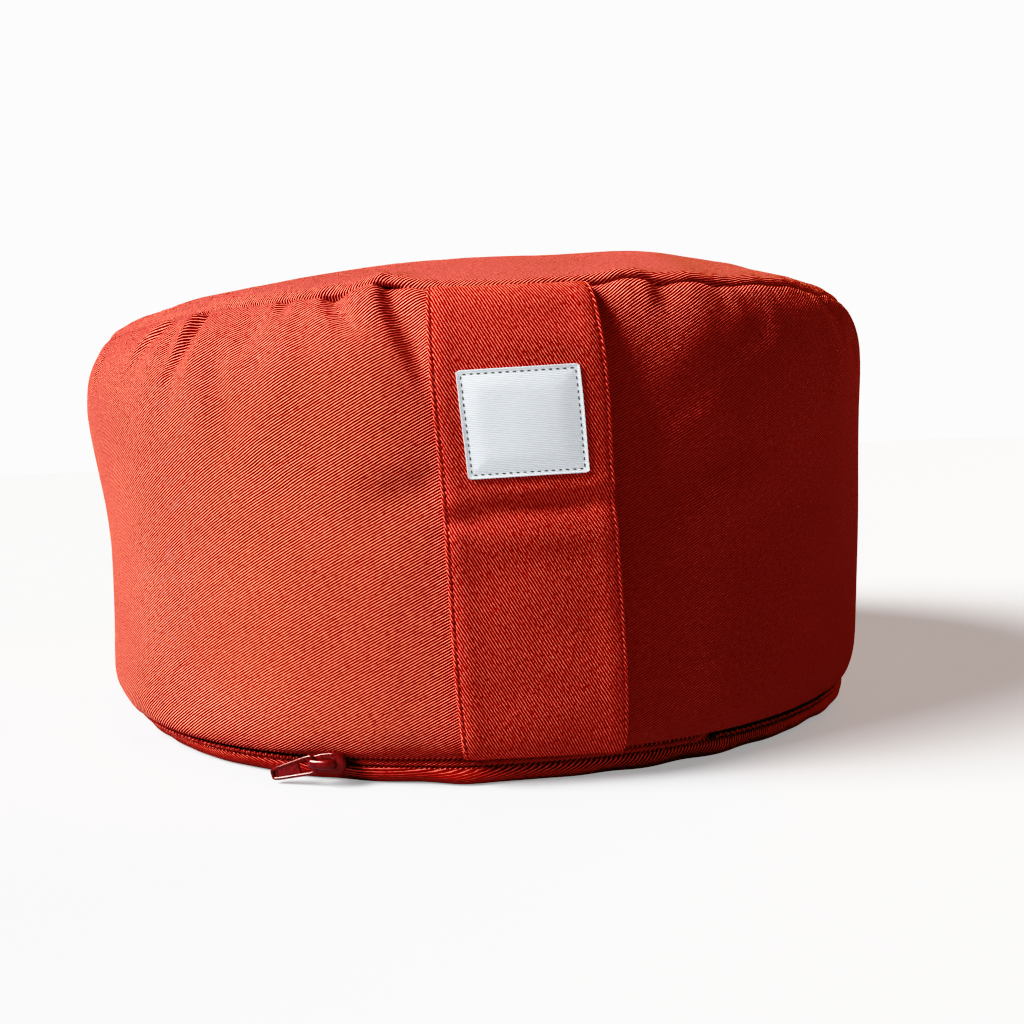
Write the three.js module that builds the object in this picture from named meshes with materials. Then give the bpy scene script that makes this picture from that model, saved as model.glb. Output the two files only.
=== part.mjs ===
// Round meditation cushion: a firm filled drum in a twill cover, with a flat carrying strap
// down its front, a bare patch sewn to the strap and a zip round its lower edge.
// Millimetres, +Z up. The origin is the middle of the flat base and the strap faces -Y.
// Angles run from the strap (0) towards +X.
import * as THREE from "three";
import { mergeVertices } from "three/addons/utils/BufferGeometryUtils.js";

// Driving dimensions
const baseRadius = 147; // flat part that touches the ground
const seamRadius = 160; // top seam
const seamHeight = 160;
const crownHeight = 184; // middle of the top panel
const zipHeight = 7.2; // middle of the zip slot
const zipHalfGapDeg = 23.4; // plain seam each side of the strap
const strapWidth = 52.8;
const strapThickness = 2;
const strapGap = 0.8; // strap to cover, so that the facets stay apart
const strapFlatness = 0.62; // 1 is flat across, 0 follows the round side
const strapTopDeg = -1.1; // the strap leans a little
const strapBottomDeg = 1.2;
const labelWidth = 36.2;
const labelHeight = 33.2;
const labelThickness = 1;
const labelTurnDeg = 1.5;
const labelMiddle = 0.71; // share of the strap's height
const pullThickness = 1.4;
const pullDropDeg = 13; // the tab hangs below the zip line
const pullTuckDeg = 17; // and turns in against the rim
const pullHingeX = -4.5; // from the middle of the slider
const pullHingeRadius = 164.1;
const pieceGap = 0.35;
const columns = 108; // facets round the body

const { degToRad, lerp, smoothstep } = THREE.MathUtils;

// Profile of each panel as radius and height, from the base edge up to the crown.
const bottomPanel = [
  { radius: baseRadius, height: 0 },
  { radius: 153.5, height: 0.7 },
  { radius: 156.6, height: 2.4 },
  { radius: 157.4, height: zipHeight - 3.4 },
];
const sidePanel = [
  { radius: 158.8, height: zipHeight + 3.4 },
  { radius: 162.2, height: 22 },
  { radius: 165.5, height: 50 },
  { radius: 167.5, height: 90 },
  { radius: 169.5, height: 130 },
  { radius: 166.5, height: 149 },
  { radius: seamRadius + 1.5, height: seamHeight - 1.2 },
];
const topPanel = [
  { radius: seamRadius - 2, height: seamHeight + 2 },
  { radius: 150, height: 168.5 },
  { radius: 129, height: 174.6 },
  { radius: 95, height: 180.6 },
  { radius: 48, height: 183.3 },
  { radius: 0, height: crownHeight },
];
// The slot between bottom panel and side: zip in it at the back and sides, two plain seam
// lines with a narrow welt between them at the front.
const lowerSeam = [
  { height: zipHeight - 2.8, zipRadius: 153.6, plainRadius: 155.4 },
  { height: zipHeight, zipRadius: 153.8, plainRadius: 157.6 },
  { height: zipHeight + 2.8, zipRadius: 154, plainRadius: 156.4 },
];
const topSeam = { height: seamHeight, radius: seamRadius - 2.6 };

// Places where the fill pushes the cover out or leaves it slack.
const fillLumps = [
  { angleDeg: -75, height: 132, spreadDeg: 34, span: 26, push: 2.6 },
  { angleDeg: -70, height: 60, spreadDeg: 40, span: 40, push: -1.2 },
  { angleDeg: 62, height: 70, spreadDeg: 36, span: 44, push: 1.6 },
  { angleDeg: 150, height: 110, spreadDeg: 38, span: 40, push: 1.8 },
  { angleDeg: -150, height: 60, spreadDeg: 40, span: 40, push: 1.4 },
  { angleDeg: 105, height: 120, spreadDeg: 24, span: 36, push: -1.6 },
];
const crownLumps = [
  { angleDeg: 70, radius: 105, spread: 60, push: 2.2 },
  { angleDeg: 24, radius: 125, spread: 28, push: 2.4 },
  { angleDeg: -92, radius: 104, spread: 64, push: -4 },
  { angleDeg: 180, radius: 90, spread: 60, push: 1 },
];
// Gathers where the top seam draws the band in: reach is how far down the side each runs,
// lean is how far its foot lies to the right of its head.
const gathers = [
  { angleDeg: -15.4, widthDeg: 3.2, depth: 3, reach: 36, leanDeg: 5 },
  { angleDeg: -24, widthDeg: 3.2, depth: 1.6, reach: 14, leanDeg: 2 },
  { angleDeg: -39.6, widthDeg: 3, depth: 2.8, reach: 24, leanDeg: -3 },
  { angleDeg: -46, widthDeg: 3.4, depth: 2.4, reach: 20, leanDeg: -5 },
  { angleDeg: -66, widthDeg: 4, depth: 2, reach: 22, leanDeg: 3 },
  { angleDeg: -92, widthDeg: 3.6, depth: 2.2, reach: 26, leanDeg: -3 },
  { angleDeg: -118, widthDeg: 3.6, depth: 1.8, reach: 22, leanDeg: 3 },
  { angleDeg: -143, widthDeg: 4, depth: 2.4, reach: 28, leanDeg: -4 },
  { angleDeg: -171, widthDeg: 3.6, depth: 2, reach: 22, leanDeg: 2 },
  { angleDeg: 160, widthDeg: 3.8, depth: 2.2, reach: 26, leanDeg: 4 },
  { angleDeg: 134, widthDeg: 3.6, depth: 1.8, reach: 20, leanDeg: -3 },
  { angleDeg: 108, widthDeg: 4, depth: 2.4, reach: 28, leanDeg: 4 },
  { angleDeg: 80, widthDeg: 3.6, depth: 2, reach: 24, leanDeg: -2 },
  { angleDeg: 58, widthDeg: 3.6, depth: 1.8, reach: 26, leanDeg: 4 },
  { angleDeg: 46.5, widthDeg: 3.2, depth: 1.4, reach: 20, leanDeg: 5 },
  { angleDeg: 25.5, widthDeg: 3.2, depth: 1, reach: 10, leanDeg: 0 },
  { angleDeg: 17.4, widthDeg: 3.2, depth: 1.6, reach: 12, leanDeg: 0 },
];

function place(angle, radius, height) {
  return new THREE.Vector3(radius * Math.sin(angle), -radius * Math.cos(angle), height);
}

function turnBetween(angle, otherDeg) {
  const turn = angle - degToRad(otherDeg);
  return Math.atan2(Math.sin(turn), Math.cos(turn));
}

function hump(distance, spread) {
  return Math.exp(-((distance / spread) ** 2));
}

function spline(panel) {
  return new THREE.SplineCurve(panel.map((row) => new THREE.Vector2(row.radius, row.height)));
}

// How far the fill pushes the side out at an angle and height.
function sidePush(angle, height) {
  let push = 0;
  for (const lump of fillLumps) {
    const across = hump(turnBetween(angle, lump.angleDeg), degToRad(lump.spreadDeg));
    push += lump.push * across * hump(height - lump.height, lump.span);
  }
  return push;
}

// How far the fill lifts the top panel.
function crownPush(angle, radius) {
  let push = 0;
  for (const lump of crownLumps) {
    const middle = place(degToRad(lump.angleDeg), lump.radius, 0);
    push += lump.push * hump(place(angle, radius, 0).distanceTo(middle), lump.spread);
  }
  return push;
}

// Depth of the gathers at a distance below the seam (negative on the top panel).
function gatherDepth(angle, drop) {
  let depth = 0;
  for (const row of gathers) {
    const reach = drop < 0 ? row.reach * 0.5 : row.reach;
    const along = Math.abs(drop) / reach;
    const foot = row.angleDeg + row.leanDeg * Math.max(drop, 0) / row.reach;
    depth += row.depth * hump(turnBetween(angle, foot), degToRad(row.widthDeg)) * hump(along, 0.75);
  }
  return depth;
}

// 1 where the zip is, 0 along the plain seam at the front.
function zipShare(angle) {
  const away = Math.abs(turnBetween(angle, 0));
  return smoothstep(away, degToRad(zipHalfGapDeg - 2.5), degToRad(zipHalfGapDeg + 0.2));
}

const sideCurve = spline(sidePanel);
const topCurve = spline(topPanel);
const bottomCurve = spline(bottomPanel);

// A point of the side at a point of its profile, with or without the gathers.
function sidePoint(angle, profilePoint, withGathers) {
  const { x: radius, y: height } = profilePoint;
  const edge = smoothstep(height, sidePanel[0].height, sidePanel[0].height + 14);
  const depth = withGathers ? gatherDepth(angle, seamHeight - height) : 0;
  return place(angle, radius + sidePush(angle, height) * edge - depth, height);
}

function topPoint(angle, share) {
  const { x: radius, y: height } = topCurve.getPoint(share);
  const inner = smoothstep(share, 0, 0.3);
  const lift = crownPush(angle, radius) * inner;
  const drop = gatherDepth(angle, radius - seamRadius) * (1 - inner);
  return place(angle, radius - drop * 0.4, height + lift - drop * 0.6);
}

// Rows of the body from the flat base up to the ring round the middle of the crown.
function bodyRows() {
  const rows = [];
  const bottomSteps = 3;
  const sideSteps = 11;
  const topSteps = 7;
  for (let i = 0; i <= bottomSteps; i++) {
    const { x: radius, y: height } = bottomCurve.getPoint(i / bottomSteps);
    rows.push((angle) => place(angle, radius, height));
  }
  for (const row of lowerSeam) {
    rows.push((angle) => place(angle, lerp(row.plainRadius, row.zipRadius, zipShare(angle)), row.height));
  }
  for (let i = 0; i <= sideSteps; i++) {
    rows.push((angle) => sidePoint(angle, sideCurve.getPoint(i / sideSteps), true));
  }
  rows.push((angle) => place(angle, topSeam.radius - 0.5 * gatherDepth(angle, 0), topSeam.height));
  for (let i = 0; i < topSteps; i++) {
    rows.push((angle) => topPoint(angle, i / topSteps));
  }
  return rows;
}

function meshFrom(points, faces, name) {
  const geometry = new THREE.BufferGeometry().setFromPoints(points);
  geometry.setIndex(faces.flat());
  geometry.computeVertexNormals();
  const mesh = new THREE.Mesh(geometry);
  mesh.name = name;
  return mesh;
}

// Two triangles for each cell of a grid whose rows are listed one after the other.
function gridFaces(rows, across, closed, first = 0) {
  const faces = [];
  for (let j = 0; j + 1 < rows; j++) {
    for (let i = 0; i < (closed ? across : across - 1); i++) {
      const a = first + j * across + i;
      const b = first + j * across + (i + 1) % across;
      faces.push([a, b, b + across], [a, b + across, a + across]);
    }
  }
  return faces;
}

function buildCushion() {
  const rows = bodyRows();
  const points = [];
  for (const row of rows) {
    for (let i = 0; i < columns; i++) {
      points.push(row((i / columns) * Math.PI * 2));
    }
  }
  const faces = gridFaces(rows.length, columns, true);
  const baseRing = points.slice(0, columns).map((p) => new THREE.Vector2(p.x, p.y));
  for (const [a, b, c] of THREE.ShapeUtils.triangulateShape(baseRing, [])) {
    faces.push([a, c, b]);
  }
  const last = (rows.length - 1) * columns;
  points.push(new THREE.Vector3(0, 0, crownHeight + crownPush(0, 0)));
  for (let i = 0; i < columns; i++) {
    faces.push([last + i, last + (i + 1) % columns, points.length - 1]);
  }
  return meshFrom(points, faces, "cushion");
}

// A closed sheet between an inner and an outer face, each a function of two shares.
function sheet(inner, outer, acrossSteps, alongSteps, name) {
  const points = [];
  const across = acrossSteps + 1;
  const along = alongSteps + 1;
  for (const face of [inner, outer]) {
    for (let j = 0; j < along; j++) {
      for (let i = 0; i < across; i++) {
        points.push(face(i / acrossSteps, j / alongSteps));
      }
    }
  }
  const far = across * along;
  const faces = gridFaces(along, across, false, far);
  for (const [a, b, c] of gridFaces(along, across, false)) {
    faces.push([a, c, b]);
  }
  const wall = (a, b) => faces.push([a, b, b + far], [a, b + far, a + far]);
  for (let i = 0; i + 1 < across; i++) {
    wall(i, i + 1);
    wall(far - 1 - i, far - 2 - i);
  }
  for (let j = 0; j + 1 < along; j++) {
    wall((j + 1) * across, j * across);
    wall(j * across + across - 1, (j + 1) * across + across - 1);
  }
  return meshFrom(points, faces, name);
}

// A point over the side: across is millimetres right of the strap's middle line. The strap
// lies on the side along its left edge and, being stiff, leaves it towards the right one.
function strapPoint(across, share, lift) {
  const middle = degToRad(lerp(strapBottomDeg, strapTopDeg, share));
  const angleAt = (offset) => middle + (across + offset) / 168;
  const shareIn = lerp(0.012, 0.985, share); // of the side's height along its curve
  const here = sideCurve.getPointAt(shareIn);
  const above = sideCurve.getPointAt(shareIn + 0.01);
  const point = sidePoint(angleAt(0), here, false);
  const toRight = sidePoint(angleAt(2), here, false).sub(point);
  const upward = sidePoint(angleAt(0), above, false).sub(point);
  const outward = toRight.cross(upward).normalize();
  const fromLeft = across + strapWidth / 2;
  const flatness = strapFlatness * Math.sin(Math.PI * lerp(0.06, 0.94, share)) ** 0.5;
  const standing = (flatness * fromLeft ** 2) / (2 * 168);
  return point.addScaledVector(outward, strapGap + standing + lift);
}

function buildStrap() {
  const at = (lift) => (u, v) => strapPoint((u - 0.5) * strapWidth, v, lift);
  return sheet(at(0), at(strapThickness), 8, 24, "handle_strap");
}

function buildLabel() {
  const turn = degToRad(labelTurnDeg);
  const sideLength = sideCurve.getLength();
  const at = (lift) => (u, v) => {
    const x = (u - 0.5) * labelWidth;
    const y = (v - 0.5) * labelHeight;
    const across = x * Math.cos(turn) - y * Math.sin(turn);
    const up = x * Math.sin(turn) + y * Math.cos(turn);
    return strapPoint(across, labelMiddle + up / sideLength, strapThickness + pieceGap + lift);
  };
  return sheet(at(0), at(labelThickness), 8, 8, "label");
}

// A closed bar round the lower edge, its section listed as radius and height.
function zipBar(section, fromDeg, toDeg, name) {
  const steps = 84;
  const points = [];
  for (let j = 0; j <= steps; j++) {
    const angle = degToRad(lerp(fromDeg, toDeg, j / steps));
    for (const { radius, height } of section) {
      points.push(place(angle, radius, height));
    }
  }
  const faces = gridFaces(steps + 1, section.length, true);
  const last = steps * section.length;
  for (let i = 1; i + 1 < section.length; i++) {
    faces.push([0, i + 1, i], [last, last + i, last + i + 1]);
  }
  return meshFrom(points, faces, name);
}

function rectangle(innerRadius, outerRadius, low, high) {
  return [
    { radius: innerRadius, height: low },
    { radius: innerRadius, height: high },
    { radius: outerRadius, height: high },
    { radius: outerRadius, height: low },
  ];
}

function ellipse(radius, height, halfDepth, halfHeight, steps) {
  const section = [];
  for (let i = 0; i < steps; i++) {
    const turn = (-i / steps) * Math.PI * 2;
    section.push({
      radius: radius + halfDepth * Math.cos(turn),
      height: height + halfHeight * Math.sin(turn),
    });
  }
  return section;
}

const zipFromDeg = zipHalfGapDeg + 0.6;
const zipToDeg = 360 - zipHalfGapDeg - 0.6;
const coilToDeg = 360 - zipHalfGapDeg - 1.8; // stops short of the slider's neck

function buildTapes() {
  const upper = rectangle(154.5, 155.5, zipHeight + 0.2, zipHeight + 2.7);
  const lower = rectangle(154.3, 155.3, zipHeight - 2.7, zipHeight - 0.2);
  return [
    zipBar(upper, zipFromDeg, zipToDeg, "zip_tape_upper"),
    zipBar(lower, zipFromDeg, zipToDeg, "zip_tape_lower"),
  ];
}

function buildCoil() {
  return zipBar(ellipse(156.7, zipHeight, 0.8, 1.15, 6), zipFromDeg, coilToDeg, "zip_coil");
}

// Slider: one outline, seen from outside, at successive distances from the middle of the
// cushion. A neck stands in the slot and the body lies over it.
const sliderRows = [
  { radius: 155.9, scale: 0.6 },
  { radius: 158.9, scale: 0.6 },
  { radius: 159.9, scale: 0.94 },
  { radius: 160.4, scale: 1 },
  { radius: 162.3, scale: 1 },
  { radius: 162.9, scale: 0.88 },
];

function buildSlider() {
  const shield = new THREE.Shape();
  shield.moveTo(-6.5, -2.4);
  shield.lineTo(0, -3.4);
  shield.quadraticCurveTo(5.8, -3.9, 5.8, 0);
  shield.quadraticCurveTo(5.8, 3.9, 0, 3.4);
  shield.lineTo(-6.5, 2.4);
  const outline = shield.getPoints(5);
  const across = outline.length;
  const points = [];
  for (const { radius, scale } of sliderRows) {
    for (const { x, y } of outline) {
      points.push(new THREE.Vector3(x * scale, -radius, zipHeight + y * scale));
    }
  }
  const faces = gridFaces(sliderRows.length, across, true);
  const last = (sliderRows.length - 1) * across;
  for (const [a, b, c] of THREE.ShapeUtils.triangulateShape(outline, [])) {
    faces.push([a, c, b], [last + a, last + b, last + c]);
  }
  const mesh = meshFrom(points, faces, "zip_slider");
  mesh.geometry.rotateZ(degToRad(-zipHalfGapDeg));
  return mesh;
}

// Pull tab: a tapered plate with an eye in its free end, hanging down to the left.
function buildPull() {
  const tab = new THREE.Shape();
  tab.moveTo(-0.5, 2.7);
  tab.lineTo(-16.5, 1.9);
  tab.absarc(-16.5, 0, 1.9, Math.PI / 2, Math.PI * 1.5, false);
  tab.lineTo(-0.5, -2.7);
  const eye = new THREE.Path();
  eye.absarc(-16, 0, 0.9, 0, Math.PI * 2, true);
  tab.holes.push(eye);
  const options = { depth: pullThickness, curveSegments: 8, bevelEnabled: false };
  const extruded = new THREE.ExtrudeGeometry(tab, options);
  extruded.deleteAttribute("normal");
  extruded.deleteAttribute("uv");
  const geometry = mergeVertices(extruded, 1e-4);
  geometry.rotateX(Math.PI / 2);
  geometry.rotateY(degToRad(-pullDropDeg));
  geometry.rotateZ(degToRad(-pullTuckDeg));
  geometry.translate(pullHingeX, -pullHingeRadius, zipHeight);
  geometry.rotateZ(degToRad(-zipHalfGapDeg));
  const mesh = new THREE.Mesh(geometry);
  mesh.name = "zip_pull";
  return mesh;
}

const cushion = new THREE.Group();
cushion.name = "meditation_cushion";
cushion.add(buildCushion());
cushion.add(buildStrap());
cushion.add(buildLabel());
cushion.add(...buildTapes());
cushion.add(buildCoil());
cushion.add(buildSlider());
cushion.add(buildPull());

export default cushion;
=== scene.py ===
import math

import bpy
import numpy as np
from mathutils import Matrix


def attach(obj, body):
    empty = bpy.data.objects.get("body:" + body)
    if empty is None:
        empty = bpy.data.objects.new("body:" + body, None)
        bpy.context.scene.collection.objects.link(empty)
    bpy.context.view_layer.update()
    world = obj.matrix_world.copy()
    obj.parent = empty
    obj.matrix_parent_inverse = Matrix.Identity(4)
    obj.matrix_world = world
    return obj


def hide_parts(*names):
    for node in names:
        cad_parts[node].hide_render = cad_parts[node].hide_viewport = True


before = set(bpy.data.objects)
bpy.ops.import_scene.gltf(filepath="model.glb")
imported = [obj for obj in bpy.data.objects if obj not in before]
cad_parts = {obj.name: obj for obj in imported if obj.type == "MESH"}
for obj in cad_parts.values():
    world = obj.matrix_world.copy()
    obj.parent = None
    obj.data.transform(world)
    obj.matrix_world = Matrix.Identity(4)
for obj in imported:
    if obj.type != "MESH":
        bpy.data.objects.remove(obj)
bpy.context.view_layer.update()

# Round meditation cushion: twill cover over a firm fill, a carrying strap down the front with a
# bare patch on it, and a zip round the lower edge. Sizes in the dictionaries are millimetres and
# angles are degrees, counted from the strap towards +X.
mm = 0.001
tau = 2.0 * math.pi


def smoothStep(x, low, high):  # 0 below low, 1 above high, a cubic between
    t = np.clip((x - low) / (high - low), 0.0, 1.0)
    return t * t * (3.0 - 2.0 * t)


def hump(x, spread):  # bell curve, 1 at x = 0
    return np.exp(-(x / spread) ** 2)


def mix(a, b, share):
    return a + (b - a) * share


def turnBetween(theta, otherDeg):  # signed turn in radians, within half a circle
    return (theta - math.radians(otherDeg) + math.pi) % tau - math.pi


def humpAt(theta, angleDeg, spreadDeg):  # bell curve round the cushion
    return hump(turnBetween(theta, angleDeg), math.radians(spreadDeg))


def around(theta, radius, height):  # point at an angle from the strap, a radius and a height
    theta, radius, height = np.broadcast_arrays(theta, radius, height)
    return np.stack([radius * np.sin(theta), -radius * np.cos(theta), height], axis=-1)


def unit(vectors):
    return vectors / np.maximum(np.linalg.norm(vectors, axis=-1, keepdims=True), 1e-12)


# Catmull-Rom curve through the rows of a table: the four rows round each place, weighted by cubics.
def throughRows(rows, place, wrap=False):
    count = len(rows)
    first = np.floor(place).astype(int)
    if not wrap:
        first = np.clip(first, 0, count - 2)
    t = (place - first).reshape((-1,) + (1,) * (rows.ndim - 1))
    near = [first + k for k in (-1, 0, 1, 2)]
    a, b, c, d = (rows[i % count if wrap else np.clip(i, 0, count - 1)] for i in near)
    return 0.5 * (2 * b + (c - a) * t + (2 * a - 5 * b + 4 * c - d) * t ** 2
                  + (3 * b - a - 3 * c + d) * t ** 3)


# Uneven wave round the cushion: cosines of whole-number frequency with seeded weights and phases.
def unevenWave(theta, low, high, seed):
    draw = np.random.default_rng(seed)
    total = 0.0
    for n in range(low, high + 1):
        total = total + draw.normal() * np.cos(n * theta + draw.uniform(0, tau))
    return total / math.sqrt((high - low + 1) / 2)


# Normals of a grid of points: across rows crossed with along columns.
def gridNormals(points, wrap):
    if wrap:
        across = np.roll(points, -1, axis=1) - np.roll(points, 1, axis=1)
    else:
        across = np.gradient(points, axis=1)
    along = np.gradient(points, axis=0)
    return unit(np.cross(across, along))


# Quads of a grid whose rows are listed one after the other.
def gridQuads(rows, columns, wrapColumns=False, wrapRows=False):
    j = np.arange(rows if wrapRows else rows - 1)[:, None]
    i = np.arange(columns if wrapColumns else columns - 1)[None, :]
    nextRow, nextColumn = (j + 1) % rows, (i + 1) % columns
    quads = [j * columns + i, j * columns + nextColumn,
             nextRow * columns + nextColumn, nextRow * columns + i]
    return np.stack([np.broadcast_to(q, (j.size, i.size)) for q in quads], axis=-1).reshape(-1, 4)


def newPiece(name, points, faces, material, uv=None):
    mesh = bpy.data.meshes.new(name)
    mesh.from_pydata(points.reshape(-1, 3), [], faces if isinstance(faces, list) else faces.tolist())
    if uv is not None:
        layer = mesh.uv_layers.new(name="grain")
        layer.uv.foreach_set("vector", np.ascontiguousarray(uv, dtype=np.float32).ravel())
    mesh.shade_smooth()
    mesh.materials.append(material)
    piece = bpy.data.objects.new(name, mesh)
    bpy.context.scene.collection.objects.link(piece)
    return piece


# Turns an object to three axes and sets it at a place.
def setPose(thing, axisX, axisY, axisZ, place):
    basis = np.eye(4)
    basis[:3, :] = np.stack([axisX, axisY, axisZ, place], axis=-1)
    thing.matrix_world = Matrix(basis.tolist())


# One small shape set down many times, each with its own middle and three axes.
def setCopies(shape, shapeFaces, middles, axesX, axesY, axesZ):
    local = shape[None, :, :]
    points = (middles[:, None] + local[..., :1] * axesX[:, None] + local[..., 1:2] * axesY[:, None]
              + local[..., 2:] * axesZ[:, None])
    steps = (np.arange(len(middles)) * len(shape))[:, None, None]
    return points.reshape(-1, 3), (shapeFaces[None] + steps).reshape(-1, shapeFaces.shape[-1])


# Capsule along X: circles whose radius follows a flattened half-ellipse, poles drawn to a point.
def capsule(length, width, height, rings=7, sides=8, fullness=0.5):
    t = np.linspace(-1, 1, rings)
    radius = np.maximum(1 - np.abs(t) ** 2.6, 0.0) ** fullness
    radius[[0, -1]] = 0.12
    turn = np.linspace(0, tau, sides, endpoint=False)
    x = np.broadcast_to(t[:, None] * length / 2, (rings, sides))
    y = radius[:, None] * np.cos(turn) * width / 2
    z = radius[:, None] * np.sin(turn) * height / 2
    points = np.stack([x, y, z], axis=-1).reshape(-1, 3)
    faces = gridQuads(rings, sides, wrapColumns=True)
    k = np.arange(sides // 2 - 1)
    low = np.stack([k, k + 1, sides - 2 - k, sides - 1 - k], axis=-1)
    return points, np.vstack([faces[:, ::-1], low, (low + (rings - 1) * sides)[:, ::-1]])


# Colour and nodes

def linear(hexCode):  # sRGB hex to linear RGBA
    c = np.array([int(hexCode[i:i + 2], 16) for i in (1, 3, 5)]) / 255.0
    return tuple(np.where(c <= 0.04045, c / 12.92, ((c + 0.055) / 1.055) ** 2.4)) + (1.0,)


def addNode(tree, kind, links=None, **settings):
    node = tree.nodes.new(kind)
    for key, value in settings.items():
        setattr(node, key, value)
    for key, value in (links or {}).items():
        if isinstance(value, bpy.types.NodeSocket):
            tree.links.new(value, node.inputs[key])
        else:
            node.inputs[key].default_value = value
    return node


def newMaterial(name):
    material = bpy.data.materials.new(name)
    material.use_nodes = True
    material.node_tree.nodes.clear()
    return material, material.node_tree


def finishMaterial(tree, links):
    shader = addNode(tree, "ShaderNodeBsdfPrincipled", links)
    addNode(tree, "ShaderNodeOutputMaterial", {"Surface": shader.outputs[0]})


def waveScale(pitch):  # a Wave texture at scale 1 repeats every tau / 20 of a unit
    return tau / 20 / (pitch * mm)


def setStops(ramp, stops):  # list of (place, hex)
    while len(ramp.elements) < len(stops):
        ramp.elements.new(0.5)
    for element, (place, hexCode) in zip(ramp.elements, stops):
        element.position = place
        element.color = linear(hexCode)


twillCloth = dict(
    pitch=0.84,         # between twill lines
    angleDeg=27.5,      # of the lines to the length of the piece
    fade=0.09,          # share of uneven dyeing
    fadeSize=45, lintSize=1.6,
    lint="#f6b9a2", fuzz="#ffa878",
)
# Each cloth's relief, shift, fibre size, share of broken threads and colour from valley to back: the valley
# stop is painted shade, the back stop a painted highlight and the middle stop the cloth's own red.
bandCords = dict(
    relief=0.4, shift=-1.2, fibre=0.8, broken=0.9,
    stops=[(0.45, "#820000"), (0.67, "#b2221a"), (0.85, "#ff9284")],
)
strapCords = dict(
    relief=0.16, shift=0.0, fibre=0.55, broken=2.0,
    stops=[(0.29, "#8a0000"), (0.54, "#b02e28"), (0.8, "#ee8272")],
)


# Washed cotton twill: matt red diagonal cords, fuzzy on their backs, with a painted highlight that makes the
# backs pale and painted shade that makes the valleys between deep red, with broken threads and a little
# lint. Shift is the turn, in radians of a cord's width, by which the painted highlight on a cord's back lies
# below its crest.
def makeTwill(name, make):
    material, tree = newMaterial(name)
    grain = addNode(tree, "ShaderNodeUVMap", uv_map="grain")
    turned = addNode(tree, "ShaderNodeMapping", {
        "Vector": grain.outputs[0], "Rotation": (0, 0, -math.radians(twillCloth["angleDeg"]))})
    cords, paintedLitBacks = (addNode(tree, "ShaderNodeTexWave", {
        "Vector": turned.outputs[0], "Scale": waveScale(twillCloth["pitch"]), "Phase Offset": shift,
        "Distortion": 0.7, "Detail": 2.0, "Detail Scale": 0.35, "Detail Roughness": 0.6},
        wave_type="BANDS", bands_direction="Y", wave_profile="SIN") for shift in (0.0, make["shift"]))
    stretched = addNode(tree, "ShaderNodeMapping", {"Vector": turned.outputs[0], "Scale": (0.42, 1.0, 1.0)})
    fibres = addNode(tree, "ShaderNodeTexNoise", {
        "Vector": stretched.outputs[0], "Scale": 1 / (make["fibre"] * mm), "Detail": 2.0, "Roughness": 0.65})
    broken = addNode(tree, "ShaderNodeMath", {
        0: fibres.outputs["Fac"], 1: make["broken"], 2: -make["broken"] / 2}, operation="MULTIPLY_ADD")
    relief = addNode(tree, "ShaderNodeMath", {
        0: broken.outputs[0], 1: 0.35, 2: cords.outputs["Fac"]}, operation="MULTIPLY_ADD")
    # Painted shade and highlight: the ramp below turns the valleys deep red and the cords' backs pale.
    paintedShadeAndBrokenThreads = addNode(tree, "ShaderNodeMath", {0: paintedLitBacks.outputs["Fac"], 1: broken.outputs[0]}, operation="ADD")
    tone = addNode(tree, "ShaderNodeValToRGB", {"Fac": paintedShadeAndBrokenThreads.outputs[0]})
    setStops(tone.color_ramp, make["stops"])
    place = addNode(tree, "ShaderNodeTexCoord")
    cloud = addNode(tree, "ShaderNodeTexNoise", {
        "Vector": place.outputs["Object"], "Scale": 1 / (twillCloth["fadeSize"] * mm),
        "Detail": 4.0, "Roughness": 0.6})
    fade = addNode(tree, "ShaderNodeMapRange", {
        "Value": cloud.outputs["Fac"], "From Min": 0.3, "From Max": 0.7,
        "To Min": 1 - twillCloth["fade"], "To Max": 1 + twillCloth["fade"]})
    dyed = addNode(tree, "ShaderNodeVectorMath", {
        0: tone.outputs["Color"], 3: fade.outputs[0]}, operation="SCALE")
    specks = addNode(tree, "ShaderNodeTexNoise", {
        "Vector": place.outputs["Object"], "Scale": 1 / (twillCloth["lintSize"] * mm),
        "Detail": 1.0, "Roughness": 0.4})
    lint = addNode(tree, "ShaderNodeMapRange", {
        "Value": specks.outputs["Fac"], "From Min": 0.8, "From Max": 0.84, "To Min": 0.0, "To Max": 0.3})
    colour = addNode(tree, "ShaderNodeMix", {
        "Factor": lint.outputs[0], 6: dyed.outputs[0], 7: linear(twillCloth["lint"])}, data_type="RGBA")
    bump = addNode(tree, "ShaderNodeBump", {
        "Height": relief.outputs[0], "Distance": make["relief"] * mm, "Strength": 1.0})
    finishMaterial(tree, {
        "Base Color": colour.outputs[2], "Normal": bump.outputs[0], "Roughness": 0.7, "IOR": 1.46,
        "Specular IOR Level": 0.06, "Sheen Weight": 0.08, "Sheen Roughness": 0.45,
        "Sheen Tint": linear(twillCloth["fuzz"])})
    return material


patchCloth = dict(pitch=0.55, thread=0.5, broken=0.9, relief=0.05, white="#f4fbff", shade="#dce9fa")


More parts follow.
